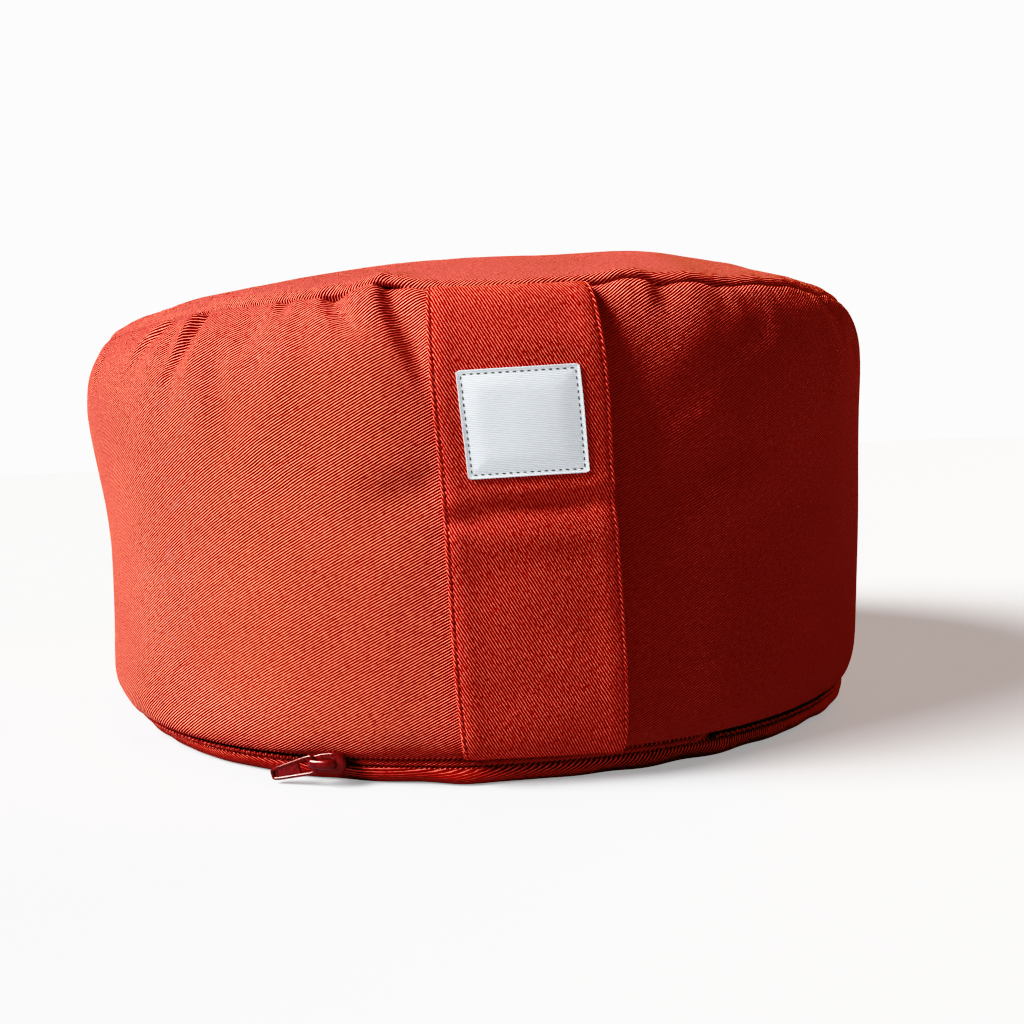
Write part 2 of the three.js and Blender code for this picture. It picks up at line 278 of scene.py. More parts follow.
# Woven polyester satin: bright white with fine crosswise ribs and a faint cool sheen.
def makePatchSatin(name):
    material, tree = newMaterial(name)
    grain = addNode(tree, "ShaderNodeUVMap", uv_map="grain")
    ribs = addNode(tree, "ShaderNodeTexWave", {
        "Vector": grain.outputs[0], "Scale": waveScale(patchCloth["pitch"]), "Distortion": 0.7,
        "Detail": 1.0, "Detail Scale": 0.5}, wave_type="BANDS", bands_direction="Y", wave_profile="SIN")
    stretched = addNode(tree, "ShaderNodeMapping", {"Vector": grain.outputs[0], "Scale": (0.3, 1.0, 1.0)})
    threads = addNode(tree, "ShaderNodeTexNoise", {
        "Vector": stretched.outputs[0], "Scale": 1 / (patchCloth["thread"] * mm), "Detail": 2.0,
        "Roughness": 0.6})
    broken = addNode(tree, "ShaderNodeMath", {
        0: threads.outputs["Fac"], 1: patchCloth["broken"], 2: -patchCloth["broken"] / 2},
        operation="MULTIPLY_ADD")
    relief = addNode(tree, "ShaderNodeMath", {0: ribs.outputs["Fac"], 1: broken.outputs[0]}, operation="ADD")
    tone = addNode(tree, "ShaderNodeValToRGB", {"Fac": relief.outputs[0]})
    setStops(tone.color_ramp, [(0.0, patchCloth["shade"]), (0.8, patchCloth["white"])])
    bump = addNode(tree, "ShaderNodeBump", {
        "Height": relief.outputs[0], "Distance": patchCloth["relief"] * mm, "Strength": 1.0})
    finishMaterial(tree, {
        "Base Color": tone.outputs["Color"], "Normal": bump.outputs[0], "Roughness": 0.55, "IOR": 1.5,
        "Specular IOR Level": 0.4, "Sheen Weight": 0.15, "Sheen Roughness": 0.4})
    return material


# Spun polyester sewing thread, twisted: a little fluffy, with a soft shine on each stitch.
threadMake = dict(spots=0.35, relief=0.08, finish={"Roughness": 0.6, "IOR": 1.5, "Sheen Weight": 0.1})
# Painted shadow: the strap's stitches are coloured near black for the shade in their stitch holes.
stitchShadowThread = dict(threadMake, dark="#1e0402", light="#4a0e08")
greyThread = dict(threadMake, dark="#1e1b1b", light="#55504e")
# Woven polyester zip tape: dark maroon and matt, with an uneven close weave, coloured darker still as
# painted shade for the gaps above and below the coil.
tapeWithPaintedShade = dict(
    spots=0.6, relief=0.15, dark="#240404", light="#54120e", finish={"Roughness": 0.8, "IOR": 1.5})
# Dyed nylon monofilament, drawn: smooth, half-gloss maroon coil, its dye a little cloudy.
coilNylon = dict(
    spots=3, relief=0, dark="#a8322c", light="#d65f54", finish={"Roughness": 0.38, "IOR": 1.53})


# Fibre whose colour runs from dark to light by a noise of the given size, which also raises its surface.
def makeFibre(name, make):
    material, tree = newMaterial(name)
    place = addNode(tree, "ShaderNodeTexCoord")
    spots = addNode(tree, "ShaderNodeTexNoise", {
        "Vector": place.outputs["Object"], "Scale": 1 / (make["spots"] * mm), "Detail": 2.0})
    tone = addNode(tree, "ShaderNodeValToRGB", {"Fac": spots.outputs["Fac"]})
    setStops(tone.color_ramp, [(0.3, make["dark"]), (0.7, make["light"])])
    links = dict(make["finish"])
    links["Base Color"] = tone.outputs["Color"]
    if make["relief"]:
        bump = addNode(tree, "ShaderNodeBump", {
            "Height": spots.outputs["Fac"], "Distance": make["relief"] * mm, "Strength": 0.8})
        links["Normal"] = bump.outputs[0]
    finishMaterial(tree, links)
    return material


sliderPaint = dict(peel=0.9, wear=2.5, relief=0.03, dark="#551013", light="#7d1f1e", gloss=(0.2, 0.36))


# Stove-enamelled zinc casting: dark red gloss paint, slightly orange-peeled and rubbed in patches.
def makePaintedZinc(name):
    material, tree = newMaterial(name)
    place = addNode(tree, "ShaderNodeTexCoord")
    peel = addNode(tree, "ShaderNodeTexNoise", {
        "Vector": place.outputs["Object"], "Scale": 1 / (sliderPaint["peel"] * mm), "Detail": 2.0})
    wear = addNode(tree, "ShaderNodeTexNoise", {
        "Vector": place.outputs["Object"], "Scale": 1 / (sliderPaint["wear"] * mm),
        "Detail": 3.0, "Roughness": 0.6})
    tone = addNode(tree, "ShaderNodeValToRGB", {"Fac": wear.outputs["Fac"]})
    setStops(tone.color_ramp, [(0.3, sliderPaint["dark"]), (0.7, sliderPaint["light"])])
    gloss = addNode(tree, "ShaderNodeMapRange", {
        "Value": wear.outputs["Fac"], "From Min": 0.3, "From Max": 0.7,
        "To Min": sliderPaint["gloss"][0], "To Max": sliderPaint["gloss"][1]})
    bump = addNode(tree, "ShaderNodeBump", {
        "Height": peel.outputs["Fac"], "Distance": sliderPaint["relief"] * mm, "Strength": 0.5})
    finishMaterial(tree, {
        "Base Color": tone.outputs["Color"], "Normal": bump.outputs[0], "Roughness": gloss.outputs[0],
        "IOR": 1.52, "Coat Weight": 0.4, "Coat Roughness": 0.12})
    return material


# Camera, floor and light

view = dict(
    lens=36.0, sensor=36.0,
    azimuthDeg=-5.1, distance=485, height=107, pitchDeg=3.3, yawDeg=1.75, rollDeg=2.2,
)


# Looks at the cushion's axis, then turns right by yaw, down by pitch and clockwise by roll.
def placeCamera():
    data = bpy.data.cameras.new("photoCamera")
    data.lens, data.sensor_width, data.sensor_fit = view["lens"], view["sensor"], "HORIZONTAL"
    data.clip_start = 0.01
    camera = bpy.data.objects.new("photoCamera", data)
    bpy.context.scene.collection.objects.link(camera)
    eye = around(math.radians(view["azimuthDeg"]), view["distance"], view["height"]) * mm
    heading = math.radians(view["azimuthDeg"] - view["yawDeg"])
    drop, roll = math.radians(view["pitchDeg"]), math.radians(view["rollDeg"])
    forward = -around(heading, math.cos(drop), math.sin(drop))
    right = unit(np.cross(forward, [0, 0, 1]))
    up = np.cross(right, forward)
    rolledRight = right * math.cos(roll) - up * math.sin(roll)
    rolledUp = up * math.cos(roll) + right * math.sin(roll)
    setPose(camera, rolledRight, rolledUp, -forward, eye)
    bpy.context.scene.camera = camera


studio = dict(
    # angle and rise of each light, the angle it spreads over, its strength and colour
    key=(-81, 39, 32, 6.9, "#fffaf4"), back=(130, 26, 40, 1.2, "#ffa868"), fill=(45, 4, 80, 0.6, "#ffe8dc"),
    floor="#a7afb5", floorHalf=40.0, floorGlow=0.3, sky=0.024, backdrop=0.95,
    # a camera's contrast as points on a curve from 0 to 1: deep shadows and clear lights in all colours,
    # then green and blue on their own, so that the reds deepen and pale towards orange
    tone=[(0.012, 0.002), (0.034, 0.0062), (0.055, 0.021), (0.075, 0.056), (0.095, 0.085), (0.13, 0.105),
          (0.17, 0.123), (0.2, 0.148), (0.235, 0.198), (0.3, 0.3), (0.6, 0.67), (0.8, 0.88)],
    greens=[(0.004, 0.0075), (0.012, 0.0125), (0.03, 0.026), (0.06, 0.043), (0.1, 0.075), (0.125, 0.118),
            (0.16, 0.175), (0.22, 0.24), (0.32, 0.325), (0.6, 0.6)],
    blues=[(0.006, 0.0035), (0.03, 0.023), (0.06, 0.047), (0.1, 0.083), (0.15, 0.14), (0.22, 0.218),
           (0.32, 0.325), (0.6, 0.6)],
)


# A wide, far panel: parallel light that comes from a disc of the sky.
def addLight(name, angleDeg, riseDeg, spreadDeg, strength, hexCode):
    data = bpy.data.lights.new(name, "SUN")
    data.angle, data.energy, data.color = math.radians(spreadDeg), strength, linear(hexCode)[:3]
    light = bpy.data.objects.new(name, data)
    bpy.context.scene.collection.objects.link(light)
    rise = math.radians(riseDeg)
    outward = around(math.radians(angleDeg), math.cos(rise), math.sin(rise))
    sideways = unit(np.cross([0, 0, 1], outward))
    setPose(light, sideways, np.cross(outward, sideways), outward, outward)


def buildStudio():
    corners = np.array([[-1, -1, 0], [1, -1, 0], [1, 1, 0], [-1, 1, 0]]) * studio["floorHalf"]
    material, tree = newMaterial("matt_paper_floor")
    seen = addNode(tree, "ShaderNodeLightPath")
    glow = addNode(tree, "ShaderNodeMath", {  # keeps the shadow pale and lights nothing else
        0: seen.outputs["Is Camera Ray"], 1: studio["floorGlow"]}, operation="MULTIPLY")
    finishMaterial(tree, {
        "Base Color": linear(studio["floor"]), "Roughness": 0.95, "Specular IOR Level": 0.1,
        "Emission Color": (1, 1, 1, 1), "Emission Strength": glow.outputs[0]})
    floor = newPiece("floor", corners, [[0, 1, 2, 3]], material)
    for name in ("key", "back", "fill"):
        addLight(name + "Light", *studio[name])
    world = bpy.data.worlds.new("softRoom")
    world.use_nodes = True
    tree = world.node_tree
    tree.nodes.clear()
    seen = addNode(tree, "ShaderNodeLightPath")
    level = addNode(tree, "ShaderNodeMapRange", {
        "Value": seen.outputs["Is Camera Ray"], "To Min": studio["sky"], "To Max": studio["backdrop"]})
    sky = addNode(tree, "ShaderNodeBackground", {"Color": (1, 1, 1, 1), "Strength": level.outputs[0]})
    addNode(tree, "ShaderNodeOutputWorld", {"Surface": sky.outputs[0]})
    scene = bpy.context.scene
    scene.world = world
    settings = scene.view_settings
    settings.view_transform, settings.look = "Standard", "None"
    settings.use_curve_mapping = True
    for channel, table in ((3, "tone"), (1, "greens"), (2, "blues")):  # 3 is all colours together
        for x, y in studio[table]:
            settings.curve_mapping.curves[channel].points.new(x, y)
    settings.curve_mapping.update()


placeCamera()
buildStudio()
print("studio: camera, floor and lights")

# Cushion

cover = dict(
    # each panel's profile, as radius and height
    bottom=[(150, 0), (155.8, 0.15), (157.4, 1.3), (157.8, 3.5), (157.2, 7.2)],
    side=[(157.2, 7.2), (161.2, 13), (163.4, 22), (165.5, 50), (167.5, 90), (169.5, 130), (166.5, 149),
          (160, 160)],
    top=[(160, 160), (158.4, 162.3), (155.2, 164.6), (149, 167.5), (132, 173.3), (108, 178.7), (80, 182.2),
         (46, 183.6)],
    baseRings=(0.2, 0.5, 0.8), crownRings=(0.8, 0.6, 0.42, 0.26, 0.12), crownRise=0.6,
    clothColumns=256, clothStep=4.6,
    # fine grid: its columns, then the first step, growth and largest step of its rows away from each seam
    columns=640, bottomSteps=(0.5, 1.25, 3.0), footSteps=(0.5, 1.2, 2.5), headSteps=(0.45, 1.17, 2.5),
    topSteps=(0.45, 1.14, 4.2),
    zipHeight=7.2, zipHalfGapDeg=23.4, zipFadeDeg=(-2.5, 0.2), slotHalf=2.3,
)
fillLumps = [  # angle, height, spread in degrees, span, push
    (-75, 80, 42, 34, -3.0), (-75, 22, 36, 16, 1.6), (62, 78, 36, 44, 2.4),
    (150, 110, 38, 40, 1.8), (-150, 60, 40, 40, 1.4), (105, 120, 24, 36, -1.2),
]
# Angle and spread in degrees, outwards and upwards at the top seam, outwards at the zip and below it.
coverShifts = [
    (75, 44, 3.6, 4.0, 3.8, 0.0), (-62, 34, 0.4, -2.0, -0.5, -4.5), (180, 40, 2.0, 1.0, 1.0, -1.0),
    (25, 20, 0, 0, 1.5, 0), (0, 14, 0, -1.3, 0, 0.8), (-8.5, 3.5, 0, 0, 0.2, 1.5),
    (-15.3, 3.4, 0.4, 3.6, 0, 0), (13.4, 3.2, 0.3, 2.6, 0, 0), (22, 2.8, 0.2, 1.2, 0, 0),
    (32.7, 3.0, 0.2, 1.2, 0, 0), (39.5, 4.5, 0.3, 1.6, 0, 0),
]
shiftReach = dict(seam=30.0, seamTuck=9.0, tuckBelowDeg=10, zip=45.0)  # less for narrow tucks
crownLumps = [  # angle, radius, spread, push
    (70, 105, 60, 1.8), (-90, 100, 70, -4.6), (180, 90, 60, 1.0), (24, 132, 26, 3.2), (-38, 125, 50, -1.6),
    (40, 140, 16, 1.8),
]


# One panel's profile as arc-length steps along the curve through its table rows.
def panelProfile(table, step):
    rows = np.array(table, float)
    fine = throughRows(rows, np.linspace(0, len(rows) - 1, 400))
    arc = np.concatenate([[0], np.cumsum(np.linalg.norm(np.diff(fine, axis=0), axis=1))])
    count = max(3, int(round(arc[-1] / step)) + 1)
    places = np.linspace(0, arc[-1], count)
    return np.stack([np.interp(places, arc, fine[:, k]) for k in (0, 1)], axis=-1), arc[-1]


def sidePush(theta, height):  # sum of bell-shaped lumps, millimetres outwards
    push = 0.0
    for angleDeg, middle, spreadDeg, span, depth in fillLumps:
        push = push + depth * humpAt(theta, angleDeg, spreadDeg) * hump(height - middle, span)
    return push


def crownPush(theta, radius):  # sum of bell-shaped lumps, millimetres upwards
    spot = around(theta, radius, 0.0)
    push = 0.0
    for angleDeg, distance, spread, depth in crownLumps:
        middle = around(math.radians(angleDeg), distance, 0.0)
        push = push + depth * hump(np.linalg.norm(spot - middle, axis=-1), spread)
    return push


bottomRows, bottomArc = panelProfile(cover["bottom"], cover["clothStep"])
sideRows, sideArc = panelProfile(cover["side"], cover["clothStep"])
topRows, topArc = panelProfile(cover["top"], cover["clothStep"])
zipRow = len(bottomRows) - 1
seamRow = zipRow + len(sideRows) - 1
clothTheta = np.linspace(0, tau, cover["clothColumns"], endpoint=False)


# Cover as cut and sewn: the panels' profiles turned round the axis, pushed out by the fill, with both
# seams shifted as the cushion sits and the shifts dying out away from them.
def sewnCover():
    profile = np.vstack([bottomRows, sideRows[1:], topRows[1:]])
    radius, height = (profile[:, k][:, None] + 0 * clothTheta for k in (0, 1))
    rows = np.arange(len(profile))[:, None]
    onSide = smoothStep(rows, zipRow, zipRow + 4) * (1 - smoothStep(rows, seamRow - 3, seamRow))
    radius = radius + sidePush(clothTheta, height) * onSide
    fromSeam = (rows - seamRow) * cover["clothStep"]
    nearZip = np.where(rows > zipRow, hump((rows - zipRow) * cover["clothStep"], shiftReach["zip"]), 1.0)
    height = height + crownPush(clothTheta, radius) * smoothStep(rows, seamRow, seamRow + 8)
    for angleDeg, spreadDeg, out, up, foot, rim in coverShifts:
        share = humpAt(clothTheta, angleDeg, spreadDeg)
        wide = spreadDeg > shiftReach["tuckBelowDeg"]
        nearSeam = hump(fromSeam, shiftReach["seam" if wide else "seamTuck"])
        radius = radius + share * (out * nearSeam + foot * nearZip + rim * (rows < zipRow))
        height = height + share * up * nearSeam
    return around(clothTheta, radius, height)


# The cover's lowest frequencies round the axis only, kept as radius, height and turn.
def evenedOut(points, highest):
    radius = np.hypot(points[..., 0], points[..., 1])
    turn = turnBetween(np.arctan2(points[..., 0], -points[..., 1]) - clothTheta, 0)
    evened = []
    for values in (radius, points[..., 2], turn):
        waves = np.fft.rfft(values, axis=1)
        waves[:, highest:] = 0
        evened.append(np.fft.irfft(waves, values.shape[1], axis=1))
    return around(clothTheta + evened[2], evened[0], evened[1])


clothMake = dict(
    quality=6, mass=0.25, stretch=40, shear=12, bend=0.6, pressure=4.0, steps=20,
    shrinkMin=-0.012, shrinkMax=0.07,                # of the free cloth, and along the tightest of the seam
    # uneven start, from which the puckers grow; waves are their lowest and highest count round and a seed
    ruffle=0.25, ruffleRows=8.0, ruffleWaves=(20, 60, 11),
    # how tight the seam is drawn, and how unevenly
    tight=0.55, uneven=0.35, tightWaves=(5, 30, 5), tightLevels=20,
    roundWaves=6,                                    # counts below this are the cushion's form, not puckers
    motionCap=9.0,                                   # most that the cloth may move
    calm=0.93, calmDeg=5, calmSpreadDeg=74,          # share of its puckers smoothed at the front
)


# Blows the cover up: Blender's cloth with pressure and no gravity, the base, zip line and crown ring
# pinned, and the top seam drawn shorter unevenly so that the band puckers along it.
def inflate(start):
    rows, columns = start.shape[:2]
    nearSeam = hump(np.arange(rows)[:, None] - seamRow, clothMake["ruffleRows"])
    ruffle = unevenWave(clothTheta, *clothMake["ruffleWaves"]) * clothMake["ruffle"] * nearSeam
    ruffled = (start + gridNormals(start, True) * ruffle[..., None]) * mm
    mesh = bpy.data.meshes.new("coverCloth")
    mesh.from_pydata(ruffled.reshape(-1, 3), [], gridQuads(rows, columns, True).tolist())
    cloth = bpy.data.objects.new("coverCloth", mesh)
    bpy.context.scene.collection.objects.link(cloth)
    pinned = cloth.vertex_groups.new(name="pinned")
    for row in (0, zipRow - 1, zipRow, zipRow + 1, rows - 1):
        pinned.add(range(row * columns, (row + 1) * columns), 1.0, "REPLACE")
    drawn = cloth.vertex_groups.new(name="drawn")
    uneven = clothMake["uneven"] * unevenWave(clothTheta, *clothMake["tightWaves"])
    tight = np.clip(clothMake["tight"] + uneven, 0.1, 1.0)
    share = np.zeros((rows, columns))
    share[seamRow - 1:seamRow + 2] = tight * np.array([[0.6], [1.0], [0.6]])
    levels = clothMake["tightLevels"]
    level = np.round(share.ravel() * levels)
    for step in range(1, levels + 1):
        drawn.add(np.flatnonzero(level == step).tolist(), step / levels, "REPLACE")
    modifier = cloth.modifiers.new("cloth", "CLOTH")
    settings = modifier.settings
    settings.quality = clothMake["quality"]
    settings.mass = clothMake["mass"]
    settings.tension_stiffness = settings.compression_stiffness = clothMake["stretch"]
    settings.shear_stiffness = clothMake["shear"]
    settings.bending_stiffness = clothMake["bend"]
    settings.use_pressure = True
    settings.uniform_pressure_force = clothMake["pressure"]
    settings.vertex_group_mass = "pinned"
    settings.vertex_group_shrink = "drawn"
    settings.shrink_min = clothMake["shrinkMin"]
    settings.shrink_max = clothMake["shrinkMax"]
    settings.effector_weights.gravity = 0
    scene = bpy.context.scene
    for step in range(1, clothMake["steps"] + 1):
        scene.frame_set(step)
    shown = cloth.evaluated_get(bpy.context.evaluated_depsgraph_get())
    blown = np.empty(rows * columns * 3)
    shown.data.vertices.foreach_get("co", blown)
    bpy.data.objects.remove(cloth)
    scene.frame_set(1)
    blown = blown.reshape(rows, columns, 3) / mm
    waves = clothMake["roundWaves"]
    # only the wrinkles are kept, on the measured shape
    wrinkles = blown - evenedOut(blown, waves) - (start - evenedOut(start, waves))
    calm = clothMake["calm"] * humpAt(clothTheta, clothMake["calmDeg"], clothMake["calmSpreadDeg"])
    moved = wrinkles * (1 - calm)[:, None]
    far = np.linalg.norm(moved, axis=-1, keepdims=True)
    print("cushion: cloth moved up to %.1f mm, mean %.1f mm" % (far.max(), far.mean()))
    return start + moved * np.minimum(1.0, clothMake["motionCap"] / np.maximum(far, 1e-9))


clothCover = sewnCover()
clothCover = inflate(clothCover)
print("cushion: cover inflated")


# Four Catmull-Rom weights at a share t of the way from the second point to the third.
def cubicWeights(t):
    return (0.5 * (-t + 2 * t ** 2 - t ** 3), 0.5 * (2 - 5 * t ** 2 + 3 * t ** 3),
            0.5 * (t + 4 * t ** 2 - 3 * t ** 3), 0.5 * (t ** 3 - t ** 2))


# Value of a grid between its points: rows end at the edges, columns run round.
def sampleGrid(grid, rowPlace, columnPlace):
    rows, columns = grid.shape[:2]
    firstRow = np.clip(np.floor(rowPlace).astype(int), 0, rows - 2)
    firstColumn = np.floor(columnPlace).astype(int)
    total = 0.0
    for a, rowShare in enumerate(cubicWeights(rowPlace - firstRow)):
        for b, columnShare in enumerate(cubicWeights(columnPlace - firstColumn)):
            row = np.clip(firstRow + a - 1, 0, rows - 1)
            column = (firstColumn + b - 1) % columns
            total = total + (rowShare * columnShare)[..., None] * grid[row, column]
    return total


strap = dict(
    width=52.8, thickness=2.0, gap=0.9, flatness=0.45, topDeg=-1.1, bottomDeg=1.2,
    radius=168,                    # turns a width across it into an angle
    sideWaves=9, under=(-2, 5),    # the side is evened below it, from inside its edges to outside them
    foot=2.6, head=0.6,            # distance of its ends from the lower and upper seams
    endDip=2.6, footReach=1.7, headReach=1.9,
    wider=[(0.042, 0.2, 0.25), (0.015, 0.78, 0.12)],    # share added, at and over a share of the height
    rim=0.45, rimAt=1.9,           # ridge above each dent: share of its depth, and distance in spreads
    stitchInset=1.5, stitchStep=2.1, firstStitch=2.4, lastStitch=2.2,
    stitch=(1.25, 0.5, 0.36, 0.05),                     # length, width, height, depth sunk
    edgeRound=0.9,
    pinch=(0.36, 0.22, 0.42),      # depth, its swing from stitch to stitch, spread
    bead=(0.14, 0.6, 0.45), puff=(0.3, 5.0, 2.6),       # height, distance in, spread
    insets=[0, 0.1, 0.3, 0.55, 0.8, 1.05, 1.3, 1.5, 1.7, 1.95, 2.3, 2.9, 3.8, 5, 6.5, 8.5, 11, 14, 17, 20,
            23, 25.2],             # columns, from an edge to near the middle
    rows=460,
)
strapDents = [  # height along the strap, across, spread along, spread across, depth
    (84.6, 3, 2.8, 16, 1.7), (81, -21, 3, 11, 1.05), (87, 22, 2.8, 9, 1.15), (75.5, 8, 5, 22, -0.9),
    (60, -16, 8, 16, 0.5), (43, 8, 9, 22, 0.5), (24, -8, 8, 18, 0.35), (142, 12, 5, 16, 0.4),
    (12, 12, 5, 14, 0.3),
]
# Head: angle, drop below the seam; foot: angle, drop; half-width, depth (a ridge is negative), skew.
folds = [
    (-15.2, 0, -6.3, 52, 4.4, 3.4, 0.4), (-18.5, 4, -13.5, 62, 8, -0.9, 0),
    (-11.8, 0, -10.6, 10, 3.4, -0.8, 0), (-21.6, 0, -17, 20, 3.4, 2.8, 0.3),
    (-27.2, 0, -26.6, 9, 2.6, 1.8, 0), (-31.5, 6, -27, 60, 9, 0.8, 0),
    (-39.6, 1, -43.4, 30, 3, 3.2, 0.3), (-45.4, 0, -51.5, 18, 2.8, 2, 0.3),
    (-52, 0, -55, 14, 3.4, 0.9, 0), (-56, 16, -50, 52, 8, 0.7, 0), (-66, 0, -63, 24, 4, 1.6, 0),
    (-78, 0, -82, 26, 4.4, 1.8, 0), (-92, 0, -96, 30, 4.4, 2.4, 0), (-104, 0, -103, 18, 3.6, 1.6, 0),
    (-118, 0, -114, 28, 4.4, 2, 0), (-131, 0, -132, 20, 3.8, 1.6, 0), (-143, 0, -148, 32, 4.6, 2.6, 0),
    (-157, 0, -156, 18, 3.6, 1.5, 0), (-171, 0, -168, 28, 4.4, 2, 0), (174, 0, 176, 18, 3.6, 1.6, 0),
    (160, 0, 165, 32, 4.6, 2.4, 0), (147, 0, 146, 20, 3.8, 1.6, 0), (134, 0, 130, 26, 4.2, 1.9, 0),
    (121, 0, 122, 18, 3.6, 1.4, 0), (108, 0, 113, 34, 4.6, 2.5, 0), (94, 0, 93, 20, 3.8, 1.6, 0),
    (80, 0, 77, 28, 4.4, 2, 0), (69, 0, 73, 26, 4.2, 1.6, 0), (58, 0, 64, 26, 3, 1.2, 0),
    (46.5, 0, 57, 20, 2.2, 1.1, 0), (51, 0, 60, 17, 2.2, -0.8, 0), (17.4, 0, 17.2, 12, 4, 1.5, 0.1),
    (25.5, 0, 25, 8, 3.4, 0.7, 0), (20, 20, 12, 44, 9, -0.6, 0), (31, 17, 22, 30, 6, 0.8, 0),
    (22, 44, 11, 64, 7, -1, 0), (30, 68, 12.5, 86, 8, -0.8, 0), (26, 58, 13, 76, 6, 0.5, 0),
    (40, 40, 30, 60, 9, -0.5, 0), (-35.5, 22, -33.5, 66, 7, 1.9, 0), (-31, 58, -23, 80, 6.5, 1.3, 0),
    (-9.5, 64, -19.5, 72, 6.5, 1.1, 0), (-27, 24, -30, 62, 8, -0.9, 0),
]
foldMake = dict(ridges=0.6, widens=0.5, headFade=(-0.3, 0.08), footFade=(0.35, 1.15))  # shares of its length
seamMake = dict(
    depth=1.15, reach=1.0, uneven=0.25, depthWaves=(8, 40, 21),
    sideShare=0.4, frontDeg=10, frontHalfDeg=(28, 48),  # shallower round the sides and back
    roll=0.25, rollAt=4.6, rollSpread=3.2,              # low roll of cloth below the seam
    edgeRoll=0.7, edgeRollAt=3.0, edgeRollSpread=2.6,   # and on the top panel, above the strap
    edgeRollDeg=4, edgeRollTurn=0.22,                   # its middle, and its spread in radians
    ripple=0.2, rippleReach=6.0, rippleWaves=(90, 150, 31),
    lipWave=0.35, lipWaveReach=9.0, lipWaves=(12, 50, 41), lipRound=0.75, lipReach=0.9,
    foldOnTop=0.15, foldShorter=1.8,                    # folds carried over onto the top panel
)
slotRows = [  # share of the way up, depth with the zip, depth along the plain seam
    (0.03, 0.5, 0.5), (0.09, 2.3, 1.6), (0.17, 3.35, 1.9), (0.28, 3.5, 0.7), (0.5, 3.5, 0.2),
    (0.72, 3.5, 0.6), (0.83, 3.35, 1.9), (0.91, 2.3, 1.6), (0.97, 0.5, 0.5),
]
grainTurnDeg = dict(top=8, bottom=-47)
bandRadius = 165.0  # turns an angle into a length along the band


def zipShare(theta):  # 1 where the zip is, 0 along the plain seam at the front
    away = np.abs(turnBetween(theta, 0))
    gap = cover["zipHalfGapDeg"]
    before, after = cover["zipFadeDeg"]
    return smoothStep(away, math.radians(gap + before), math.radians(gap + after))


def zipOut(theta):  # radius of the zip line as the cushion sits
    return cover["side"][0][0] + sum(
        foot * humpAt(theta, angleDeg, spreadDeg) for angleDeg, spreadDeg, _, _, foot, _ in coverShifts)


def strapMiddle(height):  # angle of the strap's middle line at a height along the side
    share = height / sideArc
    return np.radians(mix(strap["bottomDeg"], strap["topDeg"], share))


def underStrap(theta, height):  # 1 under the strap, falling to 0 just outside its edges
    away = np.abs((theta - strapMiddle(height) + math.pi) % tau - math.pi) * strap["radius"]
    inside, outside = strap["under"]
    return 1 - smoothStep(away, strap["width"] / 2 + inside, strap["width"] / 2 + outside)


sideHeights = np.linspace(0, sideArc, len(sideRows))
evenSide = evenedOut(clothCover, strap["sideWaves"])[zipRow:seamRow + 1]
clothCover[zipRow:seamRow + 1] = mix(
    clothCover[zipRow:seamRow + 1], evenSide, underStrap(clothTheta, sideHeights[:, None])[..., None])


# Steps that start small and grow by a ratio up to the largest, filling a length.
def gradedSteps(length, first, ratio, largest):
    steps = []
    while sum(steps) < length:
        steps.append(min(largest, first * ratio ** len(steps)))
    places = np.concatenate([[0], np.cumsum(steps)])
    return places * length / places[-1]


# Folds pressed into the cloth: each is a valley between two low ridges along a line from head to
# foot, (1 - ridges x2) exp(-x2) across it, dying out at its foot. Skew makes its left wall steeper.
def foldRelief(theta, drop):
    relief = 0.0
    for headDeg, headDrop, footDeg, footDrop, halfWidth, depth, skew in folds:
        run = np.array([math.radians(footDeg - headDeg) * bandRadius, footDrop - headDrop])
        length = np.linalg.norm(run)
        run = run / length
        x = turnBetween(theta, headDeg) * bandRadius
        y = drop - headDrop
        along = (x * run[0] + y * run[1]) / length
        across = (x * run[1] - y * run[0]) / (halfWidth * (1 + foldMake["widens"] * np.clip(along, 0, 1)))
        across = across * (1 - skew * np.tanh(2 * across))
        taper = smoothStep(along, *foldMake["headFade"]) * (1 - smoothStep(along, *foldMake["footFade"]))
        relief = relief - depth * (1 - foldMake["ridges"] * across ** 2) * np.exp(-across ** 2) * taper
    return relief


